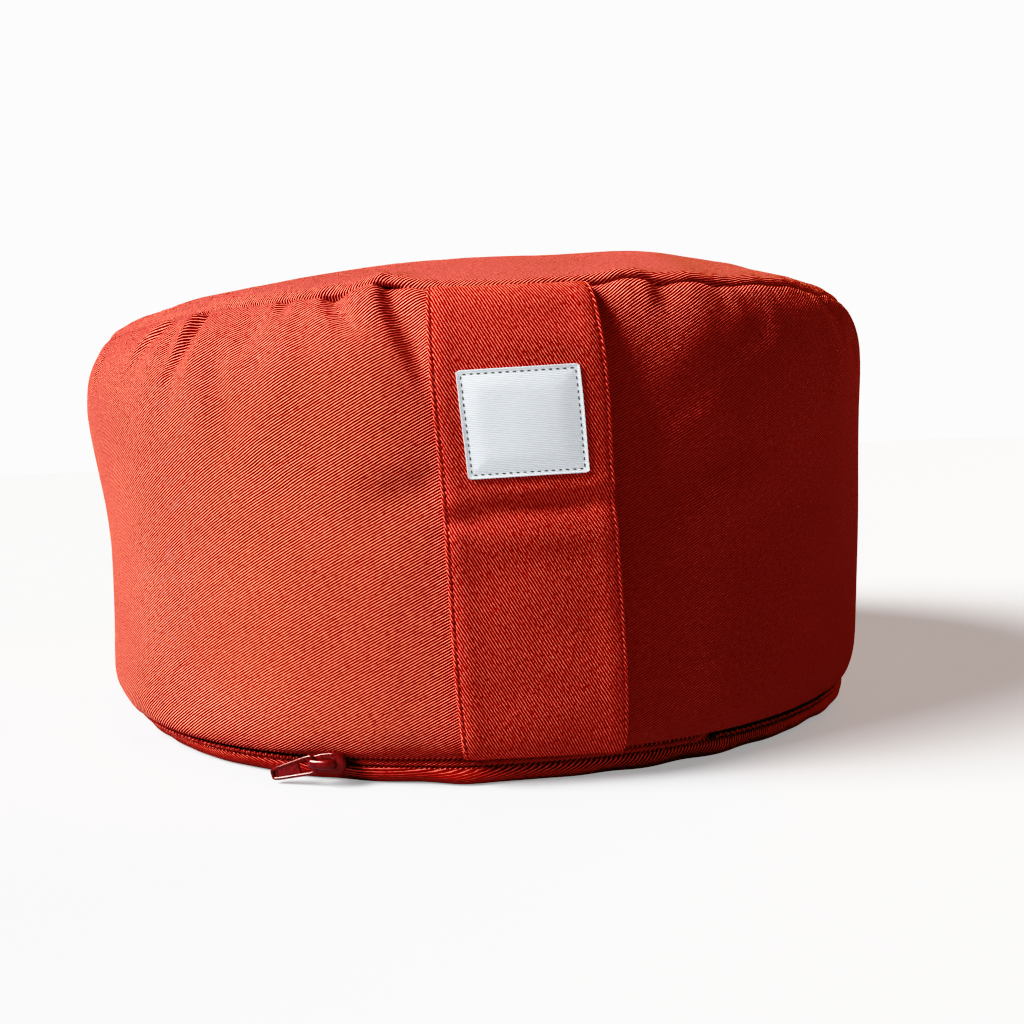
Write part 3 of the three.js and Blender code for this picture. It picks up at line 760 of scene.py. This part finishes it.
# How far the cloth stands out: pressed in along the top seam with a low roll beside it, rippled by the
# stitches, folded, and rolled over wavily at the slot's two lips. Roll, ripple and folds on the band die
# out under the strap.
def seamRelief(theta, height, fromSeam, fromLip):
    uncovered = 1 - underStrap(theta, height) * (fromSeam > -1)
    distance = np.abs(fromSeam)
    onTop = fromSeam < 0
    frontal = 1 - smoothStep(np.abs(turnBetween(theta, seamMake["frontDeg"])),
                             *np.radians(seamMake["frontHalfDeg"]))
    depth = seamMake["depth"] * (1 + seamMake["uneven"] * unevenWave(theta, *seamMake["depthWaves"]))
    depth = depth * mix(seamMake["sideShare"], 1.0, frontal)
    relief = -depth * np.exp(-(distance / seamMake["reach"]) ** 1.3)
    roll = seamMake["roll"] * hump(distance - seamMake["rollAt"], seamMake["rollSpread"])
    relief = relief + roll * uncovered * ~onTop
    edgeRoll = seamMake["edgeRoll"] * hump(distance - seamMake["edgeRollAt"], seamMake["edgeRollSpread"])
    aboveStrap = hump(turnBetween(theta, seamMake["edgeRollDeg"]), seamMake["edgeRollTurn"])
    relief = relief + edgeRoll * onTop * aboveStrap
    ripple = unevenWave(theta, *seamMake["rippleWaves"]) * seamMake["ripple"]
    ripple = ripple * np.exp(-distance / seamMake["rippleReach"])
    relief = relief + ripple * smoothStep(distance, 0.2, 2.5) * uncovered
    drop = np.where(onTop, -seamMake["foldShorter"] * fromSeam, fromSeam)
    folded = foldRelief(theta, drop) * np.where(onTop, seamMake["foldOnTop"], 1.0)
    relief = relief + folded * uncovered * (fromSeam < sideArc)
    lipWave = unevenWave(theta, *seamMake["lipWaves"]) * seamMake["lipWave"] * (1 - onTop)
    relief = relief + lipWave * np.exp(-fromLip / seamMake["lipWaveReach"]) * smoothStep(fromLip, 0, 3)
    relief = relief - seamMake["lipRound"] * np.exp(-fromLip / seamMake["lipReach"])
    return relief


# The cover in fine steps: the inflated panels resampled with close rows at their seams, then the
# seams pressed in, the folds laid and the slot for the zip cut between band and bottom panel.
def fineCover():
    columns = cover["columns"]
    theta = np.linspace(0, tau, columns, endpoint=False)
    place = theta / tau * cover["clothColumns"]
    wide = throughRows(clothCover.transpose(1, 0, 2), place, wrap=True).transpose(1, 0, 2)
    half = cover["slotHalf"]
    down = gradedSteps(bottomArc - half, *cover["bottomSteps"]) + half
    middle = sideArc / 2
    up = gradedSteps(middle - half, *cover["footSteps"]) + half
    sideUp = np.concatenate([up[:-1], sideArc - gradedSteps(sideArc - middle, *cover["headSteps"])[::-1]])
    topUp = gradedSteps(topArc, *cover["topSteps"])[1:]
    bottom = throughRows(wide[:zipRow + 1], (bottomArc - down[::-1]) / bottomArc * zipRow)
    side = throughRows(wide[zipRow:seamRow + 1], sideUp / sideArc * (seamRow - zipRow))
    top = throughRows(wide[seamRow:], topUp / topArc * (len(wide) - 1 - seamRow))
    panels = np.concatenate([bottom, side, top])
    fromSeam = np.concatenate([np.full(len(bottom), 1e3), sideArc - sideUp, -topUp])[:, None]
    fromLip = np.concatenate([down[::-1] - half, sideUp - half, np.full(len(top), 1e3)])[:, None]
    height = np.concatenate([np.zeros(len(bottom)), sideUp, np.full(len(top), sideArc)])[:, None]
    outward = gridNormals(panels, True)
    lipRow = len(bottom)
    outward[lipRow - 1:lipRow + 1] = unit(panels[lipRow - 1:lipRow + 1] * [1, 1, 0])
    relief = seamRelief(theta, height, fromSeam, fromLip)
    panels = panels + outward * relief[..., None]
    lower, upper = panels[lipRow - 1], panels[lipRow]
    inward = -unit(upper * [1, 1, 0])
    zipped = zipShare(theta)
    slot = np.stack([mix(lower, upper, share) + inward * mix(plain, withZip, zipped)[:, None]
                     for share, withZip, plain in slotRows])
    ring = panels[-1]
    radius, middleHeight = np.hypot(ring[:, 0], ring[:, 1]), ring[:, 2].mean() + cover["crownRise"]
    crown = np.stack([around(theta, radius * f, mix(middleHeight, ring[:, 2], f * f))
                      for f in cover["crownRings"]])
    baseRadius, crownRadius = cover["bottom"][0][0], cover["top"][-1][0]
    base = np.stack([around(theta, baseRadius * f, 0.0 * theta) for f in cover["baseRings"]])
    points = np.concatenate([base, panels[:lipRow], slot, panels[lipRow:], crown])
    slotRise = (np.array([row[0] for row in slotRows]) * 2 - 1) * half
    reach = topArc + crownRadius
    rowCoordinate = np.concatenate([  # distance up the band, or from the middle of a round panel
        baseRadius * np.array(cover["baseRings"]), baseRadius + bottomArc - down[::-1], slotRise, sideUp,
        reach - topUp, crownRadius * np.array(cover["crownRings"])])
    lipRowFine = len(base) + lipRow
    seamRowFine = lipRowFine + len(slotRows) + len(sideUp) - 1
    return points, rowCoordinate, lipRowFine, seamRowFine, reach, (lower, upper)


# Flat-cut coordinates of each face corner, in metres: the band unrolls to a strip that joins under
# the strap, and each round panel lies flat with its own grain.
def grainMap(rowCoordinate, lipRow, seamRowFine, reach):
    columns = cover["columns"]
    theta = np.linspace(0, tau, columns + 1)
    rows = np.arange(len(rowCoordinate) - 1)
    lower, upper = rowCoordinate[:-1].copy(), rowCoordinate[1:].copy()
    lower[seamRowFine] = reach
    upper[lipRow - 1] = rowCoordinate[lipRow - 1] + 0.3
    corners = []
    for values, spots in ((lower, theta[:-1]), (lower, theta[1:]), (upper, theta[1:]), (upper, theta[:-1])):
        band = np.stack(np.broadcast_arrays(spots[None] * bandRadius, values[:, None]), axis=-1)
        rounds = []
        for turn in (math.radians(grainTurnDeg["bottom"]), math.radians(grainTurnDeg["top"])):
            rounds.append(around(spots[None] - turn, values[:, None], 0.0)[..., :2])
        corners.append(np.where((rows < lipRow)[:, None, None], rounds[0],
                                np.where((rows < seamRowFine)[:, None, None], band, rounds[1])))
    return np.stack(corners, axis=2) * mm


def buildCushion(material):
    points, rowCoordinate, lipRow, seamRowFine, reach, lips = fineCover()
    rows, columns = points.shape[:2]
    faces = gridQuads(rows, columns, True).tolist()
    uv = grainMap(rowCoordinate, lipRow, seamRowFine, reach).reshape(-1, 2)
    flat = points.reshape(-1, 3)
    i = np.arange(columns)
    middleBottom, middleTop = len(flat), len(flat) + 1
    faces += np.stack([i * 0 + middleBottom, (i + 1) % columns, i], axis=-1).tolist()
    last = (rows - 1) * columns
    faces += np.stack([last + i, last + (i + 1) % columns, i * 0 + middleTop], axis=-1).tolist()
    rim = points[-1]
    flat = np.vstack([flat, [[0, 0, 0]], [[0, 0, rim[:, 2].mean() + 0.02]]])
    fanUv = np.stack([np.zeros((columns, 2)), flat[(i + 1) % columns, :2], flat[i, :2]], axis=1) * mm
    topUv = np.stack([rim[:, :2], np.roll(rim, -1, axis=0)[:, :2], np.zeros((columns, 2))], axis=1) * mm
    uv = np.vstack([uv, fanUv.reshape(-1, 2), topUv.reshape(-1, 2)])
    return newPiece("cushion_cover", flat * mm, faces, material, uv), lips


cushionPiece, slotLips = buildCushion(makeTwill("washed_cotton_twill", bandCords))
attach(cushionPiece, "root")
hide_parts("cushion")
print("cushion: %d faces" % len(cushionPiece.data.polygons))


# Strap

def strapSpread(height):  # the strap lies slightly wider in its lower half
    spread = 1.0
    for share, middle, span in strap["wider"]:
        spread = spread + share * hump(height / sideArc - middle, span)
    return spread


# Point over the evened side and the direction out of it, at millimetres right of the strap's middle
# line and up the side.
def overSide(across, height):
    def at(x, y):
        theta = strapMiddle(y) + x * strapSpread(y) / strap["radius"]
        return sampleGrid(evenSide, y / sideArc * (len(sideRows) - 1), theta / tau * cover["clothColumns"])
    step = 1.5
    outward = unit(np.cross(at(across + step, height) - at(across - step, height),
                            at(across, height + step) - at(across, height - step)))
    return at(across, height), outward


# How far the strap's inner face stands off the side: it lies on it along the left edge and stays
# flatter than it towards the right, dips into both seams at its ends and has soft dents.
def strapLift(across, height):
    foot, head = strap["foot"], sideArc - strap["head"]
    share = np.clip((height - foot) / (head - foot), 0, 1)
    flatness = strap["flatness"] * np.sin(math.pi * mix(0.05, 0.99, share)) ** 0.6
    lift = strap["gap"] + flatness * (across + strap["width"] / 2) ** 2 / (2 * strap["radius"])
    for along, middle, spreadAlong, spreadAcross, depth in strapDents:
        rimUp = height - along - strap["rimAt"] * spreadAlong
        dent = hump(height - along, spreadAlong) - strap["rim"] * hump(rimUp, spreadAlong)
        lift = lift - depth * dent * hump(across - middle, spreadAcross)
    dips = np.exp(-(height - foot) / strap["footReach"]) + np.exp(-(head - height) / strap["headReach"])
    return lift - strap["endDip"] * dips


# Thickness at a distance in from the edge: a rounded fold, pinched along the stitch line, beaded by the
# stitches outside it and puffed up inside it.
def strapThickness(inset, height):
    edge = np.clip(inset / strap["edgeRound"], 0, 1)
    rounded = np.sqrt(1 - (1 - edge) ** 2)
    stitchPhase = np.cos(tau * (height - strap["foot"] - strap["firstStitch"]) / strap["stitchStep"])
    depth, swing, spread = strap["pinch"]
    pinch = hump(inset - strap["stitchInset"], spread) * (depth + swing * stitchPhase)
    swing, middle, spread = strap["bead"]
    bead = swing * stitchPhase * hump(inset - middle, spread)
    rise, middle, spread = strap["puff"]
    puff = rise * hump(inset - middle, spread)
    return rounded, -pinch - bead + puff


def strapFace(across, height):  # outer face
    middle, outward = overSide(across, height)
    inset = strap["width"] / 2 - np.abs(across)
    rounded, relief = strapThickness(inset, height)
    lift = strapLift(across, height) + strap["thickness"] * (0.5 + 0.5 * rounded) + relief
    return middle + outward * lift[..., None], outward


# A flat tube: outer face left to right, inner face back, carried up the side.
def buildStrap(material):
    half = strap["width"] / 2
    insets = np.array(strap["insets"])
    across = np.concatenate([insets - half, (half - insets[:-1])[::-1]])
    height = np.linspace(strap["foot"], sideArc - strap["head"], strap["rows"])
    x, y = np.meshgrid(across, height)
    outer, outward = strapFace(x, y)
    middle, _ = overSide(x, y)
    rounded, _ = strapThickness(half - np.abs(x), y)
    inner = middle + outward * (strapLift(x, y) + strap["thickness"] * (0.5 - 0.5 * rounded))[..., None]
    loop = np.concatenate([outer, inner[:, -2:0:-1]], axis=1)
    rows, columns = loop.shape[:2]
    faces = gridQuads(rows, columns, True)
    k = np.arange(len(across) - 1)
    opposite = lambda i: np.where((i == 0) | (i == len(across) - 1), i, columns - i)
    cap = np.stack([k, opposite(k), opposite(k + 1), k + 1], axis=-1)
    caps = np.vstack([cap, (cap + (rows - 1) * columns)[:, ::-1]]).tolist()
    caps = [list(dict.fromkeys(face)) for face in caps]  # triangles at the edges
    acrossLoop = np.concatenate([across, 2 * half - across[-2:0:-1]])
    along, over = np.meshgrid(sideArc - height, acrossLoop, indexing="ij")
    uvGrid = np.stack([along, over], axis=-1).reshape(-1, 2) * mm
    wrapped = uvGrid[faces.ravel()].reshape(-1, 4, 2)
    closing = (faces[:, 0] % columns) == columns - 1
    wrapped[closing, 1:3, 1] = wrapped[closing, 0:1, 1] + 0.3 * mm
    uv = np.vstack([wrapped.reshape(-1, 2)] + [uvGrid[np.array(face)] for face in caps])
    return newPiece("carrying_strap", loop * mm, faces.tolist() + caps, material, uv)


# A row of stitches along a path on a surface, sunk a little into it.
def stitchRun(points, outward, length, width, height, sink):
    tangent = unit(np.gradient(points, axis=0))
    sideways = unit(np.cross(outward, tangent))
    shape, shapeFaces = capsule(length, width, height)
    return setCopies(shape, shapeFaces, points - outward * sink, tangent, sideways, outward)


def joinParts(parts):
    steps = np.cumsum([0] + [len(points) for points, _ in parts[:-1]])
    faces = np.vstack([faces + step for (_, faces), step in zip(parts, steps)])
    return np.vstack([points for points, _ in parts]), faces


def buildStrapThread(material):
    first, last = strap["foot"] + strap["firstStitch"], sideArc - strap["head"] - strap["lastStitch"]
    heights = np.arange(first, last, strap["stitchStep"])
    parts = []
    for side in (-1, 1):
        across = np.full(len(heights), side * (strap["width"] / 2 - strap["stitchInset"]))
        points, outward = strapFace(across, heights)
        parts.append(stitchRun(points, outward, *strap["stitch"]))
    points, faces = joinParts(parts)
    return newPiece("strap_stitches", points * mm, faces, material)


strapPiece = buildStrap(makeTwill("pressed_cotton_twill", strapCords))
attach(strapPiece, "root")
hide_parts("handle_strap")
# The strap's stitches take a near-black thread colour, painted shadow for their holes.
strapThread = buildStrapThread(makeFibre("stitch_shadow_thread", stitchShadowThread))
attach(strapThread, "root")
print("strap: %d faces" % len(strapPiece.data.polygons))
print("strap: stitches, %d faces" % len(strapThread.data.polygons))

# Patch

patch = dict(
    width=36.2, height=33.2, thickness=0.6, turnDeg=1.5, gap=0.12,
    middle=0.70283, raised=1.0,                         # share of the way up the side, and a little more
    loose=0.35, wave=0.12, drawn=0.1, curl=0.12,        # off the strap, along the stitches, at the edge
    corner=0.5, cornerReach=1.2, steps=(0.01, 1.25, 0.06),
    stitchInset=1.3, stitchStep=2.0, stitch=(1.2, 0.42, 0.34, 0.02),
)


# Place on the patch, from its own middle, to place on the strap: turned by a small angle.
def patchToStrap(x, y):
    turn = math.radians(patch["turnDeg"])
    middle = patch["middle"] * sideArc + patch["raised"]
    return x * math.cos(turn) - y * math.sin(turn), middle + x * math.sin(turn) + y * math.cos(turn)


# Lies on the strap, a little loose and wavy in the middle, drawn down along its stitches and curled up at
# its edge.
def patchFace(x, y, lift):
    across, height = patchToStrap(x, y)
    points, outward = strapFace(across, height)
    inset = np.minimum(patch["width"] / 2 - np.abs(x), patch["height"] / 2 - np.abs(y))
    loose = patch["loose"] * smoothStep(inset, 1.0, 7.0)
    wave = patch["wave"] * np.sin(x / 5.5 + 0.4) * np.cos(y / 7.0) * smoothStep(inset, 2, 8)
    drawn = patch["drawn"] * hump(inset - patch["stitchInset"], 0.7)
    curl = patch["curl"] * hump(inset, 0.7)
    return points + outward * (patch["gap"] + loose + wave - drawn + curl + lift)[..., None], outward


def buildPatch(material):
    fine = gradedSteps(1.0, *patch["steps"])
    spread = np.concatenate([fine[:-1] - 1, (1 - fine)[::-1]])
    halfX, halfY, reach = patch["width"] / 2, patch["height"] / 2, patch["cornerReach"]
    x, y = np.meshgrid(spread * halfX, spread * halfY)
    rounding = patch["corner"] * smoothStep(np.abs(x), halfX - reach, halfX) * np.sign(y)
    y = y - rounding * smoothStep(np.abs(y), halfY - reach, halfY)
    outer, _ = patchFace(x, y, patch["thickness"] + 0 * x)
    inner, _ = patchFace(x, y, 0 * x)
    rows, columns = x.shape
    faces = gridQuads(rows, columns)
    far = rows * columns
    edge = np.concatenate([np.arange(columns - 1), np.arange(columns - 1, far - 1, columns),
                           np.arange(far - 1, far - columns, -1), np.arange(far - columns, 0, -columns)])
    following = np.roll(edge, -1)
    walls = np.stack([edge, edge + far, following + far, following], axis=-1)
    faces = np.vstack([faces, faces[:, ::-1] + far, walls])
    uv = np.tile(np.stack([x, y], axis=-1).reshape(-1, 2), (2, 1))[faces.ravel()] * mm
    return newPiece("sewn_patch", np.concatenate([outer, inner]) * mm, faces, material, uv)


def buildPatchThread(material):
    halfX, halfY = (patch[key] / 2 - patch["stitchInset"] for key in ("width", "height"))
    corners = np.array([[-halfX, -halfY], [halfX, -halfY], [halfX, halfY], [-halfX, halfY]])
    parts = []
    for start, end in zip(corners, np.roll(corners, -1, axis=0)):
        count = int(np.linalg.norm(end - start) / patch["stitchStep"])
        share = (np.arange(count) + 0.5) / count
        spots = mix(start, end, share[:, None])
        points, outward = patchFace(spots[:, 0], spots[:, 1], patch["thickness"] + 0 * share)
        parts.append(stitchRun(points, outward, *patch["stitch"]))
    points, faces = joinParts(parts)
    return newPiece("patch_stitches", points * mm, faces, material)


patchPiece = buildPatch(makePatchSatin("white_woven_satin"))
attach(patchPiece, "root")
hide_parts("label")
patchThread = buildPatchThread(makeFibre("grey_polyester_thread", greyThread))
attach(patchThread, "root")
print("patch: %d faces" % len(patchPiece.data.polygons))

# Zip

zipMake = dict(
    tapeDepth=2.4, tapeThickness=0.7, fromDeg=24.0, toDeg=336.0, coilToDeg=334.4,
    above=(0.54, 0.87), below=(0.13, 0.46),             # shares of the slot's height that each tape fills
    ripple=0.06, tapeRadius=155, tapeColumns=900,
    toothStep=2.6, toothLength=1.1, toothWidth=0.86, toothDepth=0.95, toothLean=0.22,
    coilDepth=-0.1, coilMiddle=0.54, coilHalf=0.05,
)


# Point in the zip's slot: a share of the way from its lower lip to its upper, and a depth behind them.
def inSlot(theta, share, depth):
    low, high = (throughRows(lip, theta / tau * cover["columns"], wrap=True) for lip in slotLips)
    return mix(low, high, share) - around(theta, depth, 0.0)


# Tape: a flat bar round the slot, its face rippled a little by the coil's stitching.
def buildTape(name, low, high, material):
    count = zipMake["tapeColumns"]
    theta = np.radians(np.linspace(zipMake["fromDeg"], zipMake["toDeg"], count))
    ripple = zipMake["ripple"] * np.cos(theta * zipMake["tapeRadius"] / zipMake["toothStep"] * tau)
    front, thickness = zipMake["tapeDepth"], zipMake["tapeThickness"]
    section = [(0, 0), (0.35, 0), (0.65, 0), (1, 0), (1, 1), (0.65, 1), (0.35, 1), (0, 1)]  # rise, behind
    points = np.stack([
        inSlot(theta, mix(low, high, rise), front + behind * thickness - ripple * (1 - behind))
        for rise, behind in section], axis=1)
    sides = len(section)
    faces = gridQuads(count, sides, True)[:, ::-1].tolist()
    ends = [[0, 1, 6, 7], [1, 2, 5, 6], [2, 3, 4, 5]]
    last = (count - 1) * sides
    return newPiece(name, points * mm, faces + ends + [[last + i for i in e[::-1]] for e in ends], material)


# Closed coil: two rows of short nylon loops that lock past each other along the middle line.
def buildCoil(material):
    run = math.radians(zipMake["coilToDeg"] - zipMake["fromDeg"]) * cover["side"][0][0]
    count = int(run / zipMake["toothStep"])
    shape, shapeFaces = capsule(zipMake["toothLength"], zipMake["toothWidth"], zipMake["toothDepth"],
                                rings=6, fullness=0.35)
    parts = []
    for side in (-1, 1):
        place = (np.arange(count) + 0.5 + 0.25 * side) / count
        theta = np.radians(mix(zipMake["fromDeg"], zipMake["coilToDeg"], place))
        middles = inSlot(theta, zipMake["coilMiddle"] + side * zipMake["coilHalf"], zipMake["coilDepth"])
        tangent = np.stack([np.cos(theta), np.sin(theta), 0 * theta], axis=-1)
        upright = unit(inSlot(theta, 1, 0) - inSlot(theta, 0, 0))
        upward = unit(upright + zipMake["toothLean"] * side * tangent)
        outward = unit(np.cross(tangent, upward))
        parts.append(setCopies(shape, shapeFaces, middles, upward, np.cross(outward, upward), outward))
    points, faces = joinParts(parts)
    return newPiece("zip_teeth", points * mm, faces, material)


def turnAbout(points, angleDeg):  # about the cushion's axis
    c, s = math.cos(math.radians(angleDeg)), math.sin(math.radians(angleDeg))
    return points @ np.array([[c, s, 0], [-s, c, 0], [0, 0, 1]])


# Rounded square: cosine and sine drawn towards their ends by a power below 1.
def roundedSquare(count, powerX, powerY):
    turn = np.linspace(0, tau, count, endpoint=False)
    x, y = np.cos(turn), np.sin(turn)
    return np.sign(x) * np.abs(x) ** powerX, np.sign(y) * np.abs(y) ** powerY


# One outline at rising levels, each scaled about its middle, closed by a face at both ends.
def stackOutline(x, z, levels):
    points = np.stack([np.stack([scale * x, 0 * x - level, scale * z], axis=-1)
                       for level, scale in levels])
    rows, columns = points.shape[:2]
    faces = gridQuads(rows, columns, True).tolist()
    faces += [list(range(columns - 1, -1, -1)), [(rows - 1) * columns + i for i in range(columns)]]
    return points.reshape(-1, 3), faces


# Two shapes as one list of points and faces.
def addShape(points, faces, morePoints, moreFaces):
    step = len(points)
    return np.vstack([points, morePoints]), faces + [[i + step for i in face] for face in moreFaces]


slider = dict(
    angleDeg=-24.4, rise=0.8, halfLength=6.4, halfHeight=3.6, narrowEnd=0.72,
    square=0.62,                                        # power of the outline: 1 is round, 0 is square
    levels=[(-1.3, 0.6), (1.5, 0.6), (2.0, 0.72), (2.5, 0.9), (3.0, 0.97), (3.3, 0.99), (3.8, 1.0),
            (4.5, 1.0), (5.0, 0.985), (5.3, 0.95), (5.42, 0.88), (5.45, 0.6), (5.45, 0.25)],  # out, scale
    bridgeMiddle=-1.6, bridgeReach=4.4, bridgeFoot=5.1, bridgeRise=2.35, bridgeThick=0.75, bridgeWide=1.55,
    bridgeSquare=0.7, bridgeSunk=0.12,
)
sliderRadius = float(zipOut(math.radians(slider["angleDeg"])))


# Sets a shape made round the zip line's middle down where the slider is.
def atSlider(points):
    place = [0, -sliderRadius, cover["zipHeight"] + slider["rise"]]
    return turnAbout(points + place, slider["angleDeg"]) * mm


# Slider body: a shield outline stacked outwards and rounded over at the face, and an arched bridge.
def buildSlider(material):
    x, z = roundedSquare(48, slider["square"], slider["square"])
    shield = z * mix(slider["narrowEnd"], 1.0, smoothStep(x, -1.0, 0.35))
    points, faces = stackOutline(x * slider["halfLength"], shield * slider["halfHeight"], slider["levels"])
    arcs, sides = 22, 12
    arch = np.linspace(-slider["bridgeSunk"], math.pi + slider["bridgeSunk"], arcs)[:, None]
    archX, archOut = (np.sign(v) * np.abs(v) ** slider["bridgeSquare"] for v in (np.cos(arch), np.sin(arch)))
    ring = np.linspace(0, tau, sides, endpoint=False)
    bar = slider["bridgeThick"] * np.cos(ring)
    bridge = np.stack([
        (slider["bridgeReach"] + bar) * archX + slider["bridgeMiddle"],
        -(slider["bridgeFoot"] + (slider["bridgeRise"] + bar) * archOut),
        slider["bridgeWide"] * np.sin(ring) + 0 * arch], axis=-1)
    bridgeFaces = gridQuads(arcs, sides, True).tolist()
    bridgeFaces += [list(range(sides - 1, -1, -1)), list(range((arcs - 1) * sides, arcs * sides))]
    points, faces = addShape(points, faces, bridge.reshape(-1, 3), bridgeFaces)
    return newPiece("zip_slider_body", atSlider(points), faces, material)


pull = dict(
    length=18.0, rootHalf=3.6, tipHalf=2.2, bar=0.62, dropDeg=16.5, tuckDeg=3, hingeX=-4.2, hingeOut=6.06,
    eye=3.0, window=6.4, eyeShare=0.42,
    plate=[(-0.4, 0.93), (-0.34, 1.0), (0.3, 1.0), (0.36, 0.93)],            # distance out, scale
    eyeFloor=[(-0.4, 0.95), (-0.36, 1.0), (-0.12, 1.0), (-0.08, 0.95)],
)


# Pull tab: a round bar led round a rounded trapezoid, and a thin plate that fills it but for the eye at
# its tip and the window that the slider's bridge stands in.
def buildPull(material):
    length = pull["length"]
    halfAt = lambda u: mix(pull["rootHalf"], pull["tipHalf"], -u / length)
    along, over = roundedSquare(96, 0.3, 0.4)
    u = (along - 1) * length / 2
    path = np.stack([u, 0 * u, over * halfAt(u)], axis=-1)
    tangent = unit(np.roll(path, -1, axis=0) - np.roll(path, 1, axis=0))
    sideways = np.stack([tangent[:, 2], 0 * u, -tangent[:, 0]], axis=-1)
    sides = 12
    ring = np.linspace(0, tau, sides, endpoint=False)[:, None]
    offset = (np.cos(ring) - 1) * sideways[:, None] + np.sin(ring) * np.array([0, -1.1, 0])
    frameBar = path[:, None] + pull["bar"] * offset
    faces = gridQuads(len(u), sides, True, True)[:, ::-1].tolist()
    low, high = pull["eye"] - length, -pull["window"]
    middle, half = (low + high) / 2, (high - low) / 2
    along, over = roundedSquare(64, 0.3, 0.3)
    plateHalf = halfAt(middle + along * half) - pull["bar"]
    plate, plateFaces = stackOutline(along * half, over * plateHalf, pull["plate"])
    points, faces = addShape(frameBar.reshape(-1, 3), faces, plate + [middle, 0, 0], plateFaces)
    tip = pull["eye"] / 2 - length
    floorX, floorZ = along * pull["eye"] * pull["eyeShare"], over * (halfAt(tip) - pull["bar"])
    eyeFloor, eyeFaces = stackOutline(floorX, floorZ, pull["eyeFloor"])
    points, faces = addShape(points, faces, eyeFloor + [tip + pull["bar"] / 2, 0, 0], eyeFaces)
    c, s = math.cos(math.radians(pull["dropDeg"])), math.sin(math.radians(pull["dropDeg"]))
    points = points @ np.array([[c, 0, s], [0, 1, 0], [-s, 0, c]])
    points = turnAbout(points, -pull["tuckDeg"]) + [pull["hingeX"] + pull["bar"], -pull["hingeOut"], 0]
    return newPiece("zip_pull_tab", atSlider(points), faces, material)


# The tape's colour includes painted shade for the gaps beside the coil.
zipTapePaintedShade = makeFibre("maroon_zip_tape_painted_shade", tapeWithPaintedShade)
nylon = makeFibre("maroon_nylon", coilNylon)
paintedZinc = makePaintedZinc("red_enamelled_zinc")
for piece, node, slotName in (
        (buildTape("zip_tape_above", *zipMake["above"], zipTapePaintedShade), "zip_tape_upper", "zip_tape"),
        (buildTape("zip_tape_below", *zipMake["below"], zipTapePaintedShade), "zip_tape_lower", "zip_tape"),
        (buildCoil(nylon), "zip_coil", "zip_coil"),
        (buildSlider(paintedZinc), "zip_slider", "zip_metal"),
        (buildPull(paintedZinc), "zip_pull", "zip_metal")):
    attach(piece, "root")
    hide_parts(node)
    print("zip: %s, %d faces" % (piece.name, len(piece.data.polygons)))
